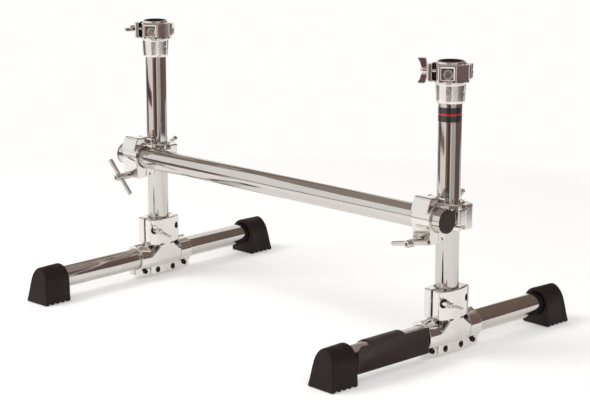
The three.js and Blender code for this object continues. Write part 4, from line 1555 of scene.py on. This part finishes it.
@dataclass(frozen=True)
class TopClamp:
    """The clamp on an upright's end that takes an arm, with its flat face to the front (-Y) and its
    ear plate to the left (-X). Heights are above the floor."""

    sleeve: Outline = ((20.9, 408.0), (22.5, 409.2), (23.2, 411.6), (25.0, 441.0))
    head_foot: float = 441.0
    head_radius: float = 25.0
    head_top: float = 470.0
    rim_radius: float = 22.5
    rim_top: float = 473.0
    rim_lip: float = 1.1
    seat_radius: float = 20.4
    face: float = 25.5
    outline: Outline = (
        (-16.0, -25.5), (11.5, -25.5), (23.0, -15.0), (30.0, -9.0), (30.0, 9.0), (0.0, 25.0), (-21.5, 0.0),
        (-21.5, -15.0))
    boss: Place = (28.0, 34.0, 9.0)
    boss_rise: float = 6.0
    boss_corner: float = 1.0
    ear_front: float = -11.0
    ear_back: float = 14.0
    ear: Point = (-36.0, -28.0)
    ear_corner: float = 2.0
    slot_near: float = -21.5
    slot_back: float = 7.0
    web: float = 3.0
    lens_rise: float = 2.2
    lens: Point = (0.4, 2.4)
    lens_low: Point = (-30.0, -40.0)
    lens_high: Point = (26.0, -8.0)
    panel: Point = (-13.0, 9.0)
    panel_insets: Point = (5.5, 3.0)
    panel_corner: float = 1.5
    panel_depth: float = 0.9
    wing_height: float = 457.5
    wing_hole: float = 3.3
    wing_seat: float = -36.3
    nut_place: float = -1.0
    nut_height: float = 455.0
    nut_sink: Point = (6.6, 2.6)
    nut: HexNut = HexNut(5.2, -2.4, 1.2, 2.6)
    side_nut_sink: Point = (5.6, 32.2)
    side_nut_seat: float = 33.8
    side_nut: HexNut = HexNut(4.6, -1.8, 0.6, 2.4)
    grub_height: float = 425.0
    grub_turn: float = 65.0
    grub_hole: Point = (2.4, 20.5)
    grub: Place = (2.2, 19.6, 22.4)
    grub_key: Point = (1.3, 20.8)
    slit_half: float = 0.8
    slit_start: float = 12.0
    opening_low: Point = (-24.0, 0.6)
    opening_right: float = -15.0
    wing_sizes: WingSizes = WingSizes(0.8, 10.2, 3.4, 17.2, 20.3, 6.2, 6.0)
    wing_hub: Outline = (
        (0.0, 0.0), (5.2, 0.0), (6.0, 0.8), (6.0, 8.0), (5.4, 9.0), (4.6, 9.4), (4.6, 10.9), (3.8, 11.5),
        (0.0, 11.5))
    wing_shank: Place = (3.0, -16.7, 1.0)
    sleeve_foot: float = 438.3
    sleeve_bore: float = 16.25
    sleeve_radius: float = 18.85
    flange: Outline = ((19.8, 0.0), (20.1, 0.3), (20.1, 0.7), (19.6, 1.0), (17.0, 1.0), (16.25, 0.3))
    # The rib is dark plastic set into the clamp's slot as painted shade, where the slot lies in shadow.
    shade_rib_low: Point = (-27.6, 1.0)
    shade_rib_right: float = -17.6
    shade_rib_gap: float = 0.4

    def _grub_place(self) -> Matrix:
        """Gives the place of the set screw, whose Z points out of the sleeve."""
        angle = math.radians(self.grub_turn)
        return aimed((0.0, 0.0, self.grub_height), (math.sin(angle), -math.cos(angle), 0.0), (0.0, 0.0, 1.0))

    def _blank(self) -> Solid:
        """Fuses the clamp's masses and bores them for the tube.

        Returns:
            The clamp, before its smaller cuts.
        """
        low, high, floor = self.head_foot, self.head_top, self.head_foot + self.web
        sleeve = turned([(0.0, self.sleeve[0][1]), *self.sleeve, (0.0, low)], BROAD_SIDES)
        rim = rod(self.rim_radius, Axis.Z, low, self.rim_top + self.rim_lip, MIDDLE, BROAD_SIDES)
        drum = rod(self.head_radius, Axis.Z, low, high, MIDDLE, BROAD_SIDES)
        face = prism(self.outline, Axis.Z, low, high)
        start, end, half = self.boss
        corners = rectangle((start, low + self.boss_rise), (end, high))
        boss = prism(rounded(corners, self.boss_corner), Axis.Y, -half, half)
        front, back, inner = self.ear_front, self.ear_back, self.ear[1] - 2
        ear = prism(
            rounded(rectangle((self.ear[0], front), (self.ear[1], back)), self.ear_corner), Axis.Z, low, high)
        bridge = prism(rectangle((inner, self.slot_back), (0.0, back)), Axis.Z, low, high)
        web = prism(rectangle((inner, front), (self.slot_near, back)), Axis.Z, low, floor)
        slot = prism(
            rectangle((self.ear[1], -40.0), (self.slot_near, self.slot_back)), Axis.Z, floor, high + OVERRUN)
        reach, (down, up) = self.head_radius + self.lens_rise, self.lens
        room = prism(rectangle(self.lens_low, self.lens_high), Axis.Z, low - OVERRUN, low + OVERRUN)
        lens = rod(reach, Axis.Z, low - down, low + up, MIDDLE, BROAD_SIDES).keep(room)
        head = drum.pooled(face, ear, bridge, web).cast(0.7, 0).cut(slot)
        whole = head.pooled(sleeve, rim, boss, lens).cast(0.7, 0)
        bore = TUBE.bore(Axis.Z, self.sleeve[0][1] - OVERRUN, self.rim_top + OVERRUN)
        return whole.cut(bore).cast(0.7, 5)

    def casting(self) -> Solid:
        """Casts the clamp.

        Returns:
            The casting.
        """
        low, high, face = self.head_foot, self.head_top, -self.face
        seat = rod(self.seat_radius, Axis.Z, self.rim_top, self.rim_top + OVERRUN, MIDDLE, BROAD_SIDES)
        (left, right), (foot, head) = self.panel, self.panel_insets
        corners = rectangle((left, low + foot), (right, high - head))
        panel = prism(rounded(corners, self.panel_corner), Axis.Y, face - OVERRUN, face + self.panel_depth)
        screw = rod(self.wing_hole, Axis.X, -45.0, -10.0, (0.0, self.wing_height), HOLE_SIDES)
        radius, depth = self.nut_sink
        sink = rod(radius, Axis.Y, face - OVERRUN, face + depth, (self.nut_place, self.nut_height))
        radius, floor = self.side_nut_sink
        side = rod(radius, Axis.X, floor, 40.0, (0.0, self.nut_height + 1))
        radius, floor = self.grub_hole
        grub = rod(radius, Axis.Z, floor, 30.0, MIDDLE, HOLE_SIDES).moved(self._grub_place())
        slit = prism(
            rectangle((-self.slit_half, self.slit_start), (self.slit_half, 40.0)), Axis.Z, low - 18, high + 8)
        corners = rectangle(self.opening_low, (self.opening_right, self.slot_back))
        opening = prism(corners, Axis.Z, low + self.web, high + OVERRUN)
        return self._blank().cut(seat, panel, screw, sink, side, grub, slit, opening).cast(0.68, 2)

    def grub_screw(self) -> Solid:
        """Makes the set screw in the sleeve, about the upright's axis.

        Returns:
            The screw.
        """
        radius, low, high = self.grub
        key, floor = self.grub_key
        screw = rod(radius, Axis.Z, low, high, MIDDLE, HOLE_SIDES, GAP)
        return screw.cut(prism(circle(key, HEXAGON), Axis.Z, floor, 30.0)).moved(self._grub_place())

    def wing(self) -> Solid:
        """Makes the wing bolt, seated at z = 0.

        Returns:
            The bolt.
        """
        radius, low, high = self.wing_shank
        shank = rod(radius, Axis.Z, low, high, MIDDLE, HOLE_SIDES, 0.4)
        return self.wing_sizes.plate().pooled(turned(self.wing_hub)).cast(0.4, 4).join(shank)

    def bushing(self) -> Solid:
        """Makes the plastic sleeve in the clamp, with the dark rib in the clamp's slot, which stands for the
        slot's shade: painted shade.

        Returns:
            The sleeve.
        """
        seat, bore, radius = self.rim_top + GAP, self.sleeve_bore, self.sleeve_radius
        start = (bore, self.sleeve_foot)
        flange = [(reach, seat + height) for reach, height in self.flange]
        sleeve = turned([start, (radius, self.sleeve_foot), (radius, seat), *flange, start], BROAD_SIDES)
        # The dark rib in the slot is painted shade.
        shade_rib = prism(
            rectangle(self.shade_rib_low, (self.shade_rib_right, self.slot_back - GAP)), Axis.Z,
            self.head_foot + self.web + self.shade_rib_gap, self.head_top - 1.0)
        return sleeve.join(shade_rib)

    def build(self) -> None:
        """Puts both top clamps into the scene."""
        casting, wing, bushing, grub = self.casting(), self.wing(), self.bushing(), self.grub_screw()
        nut = self.nut.form().moved(aimed((self.nut_place, -self.face, self.nut_height), TO_FRONT, TO_RIGHT))
        side_nut = self.side_nut.form().moved(
            aimed((self.side_nut_seat, 0.0, self.nut_height + 1), TO_RIGHT, TO_BACK))
        for stand in STANDS:
            node, place = f"{stand.name}_top", stand.top()
            show(f"{node}_casting", casting, place, CAST, node, f"{node}_clamp", sharp=None)
            show(f"{node}_sleeve", bushing, place, PLASTIC, node, f"{node}_bushing")
            show(f"{node}_front_nut", nut, place, STEEL, node, f"{node}_nut")
            show(f"{node}_side_nut", side_nut, place, STEEL, node)
            show(f"{node}_grub_screw", grub, place, STEEL, node)
            across = leaning(90.0 - stand.top_wing_turn)
            aim = place @ aimed((self.wing_seat, 0.0, self.wing_height), TO_LEFT, across)
            show(f"{node}_wing_cast", wing, aim, CAST, f"{node}_wing", f"{node}_wing_bolt", sharp=40.0)


@dataclass(frozen=True)
class Uprights:
    """The two uprights and the band on the right one."""

    low: float = 62.3
    length: float = 375.7
    band_low: float = 379.5
    band_high: float = 402.5
    band_gap: float = 0.01
    band_thickness: float = 0.12
    band_ease: float = 0.1

    def build(self) -> None:
        """Puts the uprights and the band into the scene."""
        tube, finish = TUBE.form(self.low, self.low + self.length), tube_finish(Axis.Z)
        for stand in STANDS:
            side = stand.name
            show(f"{side}_upright_tube", tube, stand.upright(), finish, f"{side}_post", f"{side}_upright")
        inner, ease = TUBE.radius + self.band_gap, self.band_ease
        outer = inner + self.band_thickness
        band = turned([
            (inner, self.band_low), (outer, self.band_low + ease), (outer, self.band_high - ease),
            (inner, self.band_high), (inner, self.band_low)], TUBE_SIDES)
        show("right_upright_band", band, STANDS[1].upright(), BAND, "right_post")


@dataclass(frozen=True)
class FootTubes:
    """The two tubes that the rack stands on."""

    half: float = 269.6

    def build(self) -> None:
        """Puts both foot tubes into the scene."""
        tube, finish = TUBE.form(-self.half, self.half).moved(FACING[Axis.Y]), tube_finish(Axis.Y)
        for stand in STANDS:
            side, place = stand.name, stand.base((0.0, stand.foot_shift, TUBE.axis_height))
            show(f"{side}_foot_tube_chrome", tube, place, finish, f"{side}_base", f"{side}_foot_tube")


@dataclass(frozen=True)
class CrossBar:
    """The bar between the stands, with its two caps. A cap's edge is given by how far in each corner
    lies, from its side and from its top."""

    cap_thickness: float = 3.2
    plug: float = 10.0
    plug_wall: float = 2.0
    cap_edge: Outline = ((0.0, 1.3), (0.25, 0.75), (0.8, 0.35), (1.8, 0.12))
    crown: Point = (0.6, 0.02)

    def cap(self) -> Solid:
        """Makes a domed end cap, seated at z = 0 and facing +Z.

        Returns:
            The cap.
        """
        radius, plug, top = TUBE.radius, TUBE.radius - TUBE.wall - GAP, GAP + self.cap_thickness
        inner, (share, drop) = plug - self.plug_wall, self.crown
        edge = [(radius - inset, top - depth) for inset, depth in self.cap_edge]
        return turned([
            (0.0, 0.0), (inner, 0.0), (inner, -self.plug), (plug, -self.plug), (plug, GAP), (radius, GAP),
            *edge, (radius * share, top - drop), (0.0, top)], TUBE_SIDES)

    def build(self) -> None:
        """Puts the bar and its caps into the scene."""
        low, high = (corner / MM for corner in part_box("bar"))
        middle = (low.y + high.y) / 2, (low.z + high.z) / 2
        bar, place = TUBE.form(low.x, high.x).moved(FACING[Axis.X]), Matrix.Translation((0.0, *middle))
        show("cross_bar_chrome", bar, place, tube_finish(Axis.X), "cross_bar", "bar")
        cap = self.cap()
        for name, end, way in (("left", low.x, TO_LEFT), ("right", high.x, TO_RIGHT)):
            place = aimed((end, *middle), way, TO_BACK)
            show(f"bar_cap_{name}", cap, place, PLASTIC, "cross_bar", f"end_cap_{name}")


@dataclass(frozen=True)
class NamePlate:
    """The bare plate beside the right foot tube, with the clip that hooks over the tube."""

    front: float = -220.5
    back: float = -61.9
    foot: float = 16.0
    top: float = 59.0
    thickness: float = 3.0
    chamfer: float = 8.0
    corner: float = 2.0
    clip_front: float = -192.0
    clip_back: float = -98.0
    clip_slant: float = 10.0
    clip_thickness: float = 2.6
    clip_wrap: float = 205.0
    frame_inset: float = 3.2
    frame_corner: float = 2.4
    panel_depth: float = 0.45

    def _face(self, inset: float) -> list[Point]:
        """Draws the plate's outline, in by an inset.

        Args:
            inset: How far in, in millimetres.

        Returns:
            The outline.
        """
        low, high, top = self.front + inset, self.back - inset, self.top - inset
        chamfer = self.chamfer - inset * 0.4
        return [
            (low, self.foot + inset), (high, self.foot + inset), (high, top), (low + chamfer, top),
            (low, top - chamfer)]

    def form(self) -> Solid:
        """Makes the plate and its clip.

        Returns:
            The moulding.
        """
        inner, axis, wrap = TUBE.radius + GAP, TUBE.axis_height, self.clip_wrap
        face, shell_outer = inner + self.thickness, inner + self.clip_thickness
        slab = prism(rounded(self._face(0.0), self.corner), Axis.X, inner, face)
        section = [*arc(shell_outer, 0, wrap, 48, FOOT_AXIS), *arc(inner, wrap, 0, 48, FOOT_AXIS)]
        shell = prism(section, Axis.Y, self.clip_front, self.clip_back)
        low, high = axis - shell_outer - OVERRUN, axis + shell_outer + GAP
        trim = prism([
            (self.clip_front, low), (self.clip_back, low), (self.clip_back, axis),
            (self.clip_back - self.clip_slant, high), (self.clip_front + self.clip_slant, high),
            (self.clip_front, axis)], Axis.X, -40.0, 40.0)
        outline = rounded(self._face(self.frame_inset), self.frame_corner)
        panel = prism(outline, Axis.X, face - self.panel_depth, face + OVERRUN)
        return slab.pooled(shell.keep(trim)).cast(0.9, 3).cut(panel)

    def build(self) -> None:
        """Puts the plate into the scene."""
        place = STANDS[1].base()
        show("name_plate_moulding", self.form(), place, PLASTIC, "right_base", "name_plate", sharp=None)


# Studio


@dataclass(frozen=True)
class Flag:
    """A dark or grey card far off, which the chrome mirrors. Azimuth 0 is -Y and 90 is +X."""

    name: str
    azimuths: Point
    heights: Point
    tone: Place
    soft: float = 0.06
    distance: float = 7.0


@dataclass(frozen=True)
class Lamp:
    """A soft square lamp, in metres and watts."""

    name: str
    place: Place
    size: float
    power: float


@dataclass(frozen=True)
class Studio:
    """The pale floor, the lamps, the cards and the camera, in metres, but for the camera's place."""

    lens: float = 112.47
    rise: float = 0.0029
    sensor: float = 36.0
    position: Place = (2152.0, -2209.3, 913.0)
    turn: Place = (76.57, 0.0, 44.15)
    target: Place = (0.0, 0.0, 0.15)
    floor_radius: float = 1.45
    floor_drop: float = 0.0006
    floor_glow: float = 0.22
    floor_tones: tuple[Place, Place] = ((0.94, 0.93, 0.915), (0.96, 0.955, 0.945))
    overhead_radius: float = 5.4
    overhead_height: float = 5.6
    overhead_tone: Place = (0.36, 0.3, 0.275)
    card_steps: int = 24
    card_rise: float = 0.22
    seen_tone: Place = (1.0, 0.995, 0.985)
    light_tone: Place = (1.0, 0.98, 0.96)
    light_power: float = 0.55
    lamps: tuple[Lamp, ...] = (
        Lamp("lamp_key", (-1.6, -2.2, 3.0), 1.8, 62.0),
        Lamp("lamp_fill", (2.6, -1.2, 2.6), 1.6, 26.0),
    )
    flags: tuple[Flag, ...] = (
        Flag("card_low_left", (-88.0, -50.0), (-17.0, 4.0), (0.26, 0.17, 0.18)),
        Flag("card_camera", (7.5, 52.0), (-17.0, 32.0), (0.11, 0.068, 0.068)),
        Flag("card_brown", (14.5, 25.0), (-17.0, 24.0), (0.42, 0.19, 0.08), 0.14, 6.8),
        Flag("card_right", (56.0, 96.0), (-17.0, 42.0), (0.55, 0.53, 0.51)),
        Flag("card_back_right", (94.0, 160.0), (-17.0, 50.0), (0.17, 0.115, 0.115), 0.06, 7.2),
        Flag("card_high_left", (-142.0, -80.0), (18.0, 60.0), (0.28, 0.22, 0.185), 0.1),
        Flag("card_back", (171.0, 186.0), (-17.0, 45.0), (0.24, 0.2, 0.2)),
        Flag("card_horizon", (-84.0, 4.0), (-2.6, 2.4), (0.1, 0.07, 0.065), 0.2),
        Flag("card_near_back", (128.0, 207.0), (-2.5, 38.0), (0.2, 0.145, 0.115), 0.08, 1.3),
    )

    def _placed(self, name: str, data: bpy.types.ID) -> bpy.types.Object:
        """Links a piece of the studio, which isn't part of the object.

        Args:
            name: The piece's name.
            data: Its mesh or light.

        Returns:
            The new object.
        """
        item = bpy.data.objects.new(name, data)
        bpy.context.scene.collection.objects.link(item)
        return item

    def _sheet(
        self, name: str, points: Sequence[Place], faces: Sequence[Sequence[int]], spots: Sequence[Point] = (),
    ) -> tuple[bpy.types.Mesh, Nodes]:
        """Makes a thin sheet with a material of its own.

        Args:
            name: The name of both.
            points: The corners in metres.
            faces: The corners of each face, by number.
            spots: Where each corner lies on the sheet's own map.

        Returns:
            The mesh and the material's nodes.
        """
        mesh = bpy.data.meshes.new(name)
        mesh.from_pydata(points, [], faces)
        if spots:
            layer = mesh.uv_layers.new(name="card")
            for loop in mesh.loops:
                layer.data[loop.index].uv = spots[loop.vertex_index]
        material = bpy.data.materials.new(name)
        material.use_nodes = True
        mesh.materials.append(material)
        return mesh, Nodes(material.node_tree)

    def _disc(self, name: str, radius: float, height: float, sides: int) -> tuple[bpy.types.Mesh, Nodes]:
        """Makes a round level sheet."""
        return self._sheet(name, [(x, y, height) for x, y in circle(radius, sides)], [range(sides)])

    def _reflected(self, mesh: bpy.types.Mesh) -> None:
        """Hangs up a card that only reflections see.

        Args:
            mesh: The card.
        """
        card = self._placed(mesh.name, mesh)
        card.visible_camera = card.visible_diffuse = False
        card.visible_shadow = card.visible_transmission = False

    def _card(self, flag: Flag) -> None:
        """Bends a card round the object at its distance, and fades its colour out at its edges.

        Args:
            flag: The card.
        """
        steps, points, spots = self.card_steps, [], []
        first, last = flag.azimuths
        for row, elevation in enumerate(flag.heights):
            height = flag.distance * math.tan(math.radians(elevation)) + self.card_rise
            for share in (index / steps for index in range(steps + 1)):
                azimuth = math.radians(first + (last - first) * share)
                points.append((flag.distance * math.sin(azimuth), -flag.distance * math.cos(azimuth), height))
                spots.append((share, float(row)))
        faces = [(index, index + 1, steps + 2 + index, steps + 1 + index) for index in range(steps)]
        mesh, nodes = self._sheet(flag.name, points, faces, spots)
        nodes.tree.nodes.clear()
        place = nodes.add("SeparateXYZ", {0: nodes.add("TexCoord").outputs["UV"]})
        shares = []
        for label in ("X", "Y"):
            away = nodes.math("ABSOLUTE", nodes.math("SUBTRACT", place.outputs[label], 0.5))
            shares.append(nodes.step(away, 0.5, 0.5 - flag.soft))
        glow = nodes.add("Emission", {"Color": (*flag.tone, 1.0)})
        card = nodes.blend(nodes.math("MULTIPLY", *shares), nodes.add("BsdfTransparent"), glow)
        nodes.add("OutputMaterial", {"Surface": card.outputs[0]})
        self._reflected(mesh)

    def _overhead(self) -> None:
        """Hangs the wide card over the object."""
        mesh, nodes = self._disc("card_overhead", self.overhead_radius, self.overhead_height, CARD_SIDES)
        nodes.tree.nodes.clear()
        glow = nodes.add("Emission", {"Color": (*self.overhead_tone, 1.0)})
        nodes.add("OutputMaterial", {"Surface": glow.outputs[0]})
        self._reflected(mesh)

    def _seen_share(self, nodes: Nodes, share: float) -> Socket:
        """Gives a share to rays from the camera and off mirrors, and nothing to the light on the object.

        Args:
            nodes: The material's nodes.
            share: The share.

        Returns:
            The share that each ray gets.
        """
        path = nodes.add("LightPath").outputs
        seen = nodes.math("MAXIMUM", path["Is Camera Ray"], path["Is Glossy Ray"])
        return nodes.math("MULTIPLY", nodes.math("MAXIMUM", seen, path["Is Transmission Ray"]), share)

    def _floor(self) -> None:
        """Lays the round pale floor, which fades into the background at its rim."""
        mesh, nodes = self._disc("floor", self.floor_radius, -self.floor_drop, TUBE_SIDES)
        first, second = ((*tone, 1.0) for tone in self.floor_tones)
        place = nodes.add("TexCoord").outputs["Object"]
        shader, out = nodes.tree.nodes["Principled BSDF"], nodes.tree.nodes["Material Output"]
        colour = nodes.mix("RGBA", nodes.noise(place, 3.0, 2.0), first, second)
        nodes.feed(shader, {"Roughness": 0.7, "Specular IOR Level": 0.2, "Base Color": colour})
        glow = nodes.add("Emission", {"Strength": self._seen_share(nodes, self.floor_glow)})
        both = nodes.add("AddShader", {0: shader.outputs[0], 1: glow.outputs[0]})
        away = nodes.add("VectorMath", {0: place}, operation="LENGTH").outputs["Value"]
        fade = nodes.step(away, self.floor_radius * 0.97, self.floor_radius * 0.8)
        floor = nodes.blend(fade, nodes.add("BsdfTransparent"), both)
        nodes.feed(out, {"Surface": floor.outputs[0]})
        self._placed("floor", mesh)

    def _world(self) -> None:
        """Makes the surroundings: white to look at and in reflections, softer as light."""
        world = bpy.data.worlds.new("surroundings")
        world.use_nodes = True
        bpy.context.scene.world = world
        nodes = Nodes(world.node_tree)
        nodes.tree.nodes.clear()
        seen = nodes.add("Background", {"Color": (*self.seen_tone, 1.0), "Strength": 1.0})
        light = nodes.add("Background", {"Color": (*self.light_tone, 1.0), "Strength": self.light_power})
        mix = nodes.blend(self._seen_share(nodes, 1.0), light, seen)
        nodes.add("OutputWorld", {"Surface": mix.outputs[0]})

    def _lamp(self, lamp: Lamp) -> None:
        """Hangs a lamp that faces the object.

        Args:
            lamp: The lamp.
        """
        data = bpy.data.lights.new(lamp.name, "AREA")
        data.shape, data.size, data.energy = "SQUARE", lamp.size, lamp.power
        item = self._placed(lamp.name, data)
        item.location = lamp.place
        aim = Vector(self.target) - Vector(lamp.place)
        item.rotation_euler = aim.to_track_quat("-Z", "Y").to_euler()
        item.visible_camera = item.visible_glossy = False

    def _camera(self) -> None:
        """Sets up the scene's camera."""
        data = bpy.data.cameras.new("camera")
        data.lens, data.shift_y = self.lens, self.rise
        data.sensor_width, data.sensor_fit = self.sensor, "HORIZONTAL"
        camera = bpy.data.objects.new("camera", data)
        bpy.context.scene.collection.objects.link(camera)
        middle = (STANDS[0].centre() + STANDS[1].centre()) / 2
        camera.location = (middle + Vector(self.position)) * MM
        camera.rotation_euler = [math.radians(angle) for angle in self.turn]
        bpy.context.scene.camera = camera

    def build(self) -> None:
        """Sets up the studio."""
        for flag in self.flags:
            self._card(flag)
        self._overhead()
        self._floor()
        self._world()
        for lamp in self.lamps:
            self._lamp(lamp)
        self._camera()
        bpy.context.scene.view_settings.view_transform = "Standard"


def main() -> None:
    """Builds the rack and the studio."""
    logging.basicConfig(level=logging.INFO, format="%(message)s")
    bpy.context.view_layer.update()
    for part in (
            FootTubes(), Uprights(), CrossBar(), RubberFoot(), BaseClamp(), BaseWingBolt(), MemoryLock(),
            RackClamp(), TopClamp(), NamePlate()):
        before = {item.name for item in bpy.context.scene.objects}
        part.build()
        for item in bpy.context.scene.objects:
            if item.name not in before and item.type == "MESH":
                LOG.info("%s: %d faces", item.name, len(item.data.polygons))
    Studio().build()


if __name__ == "__main__":
    main()
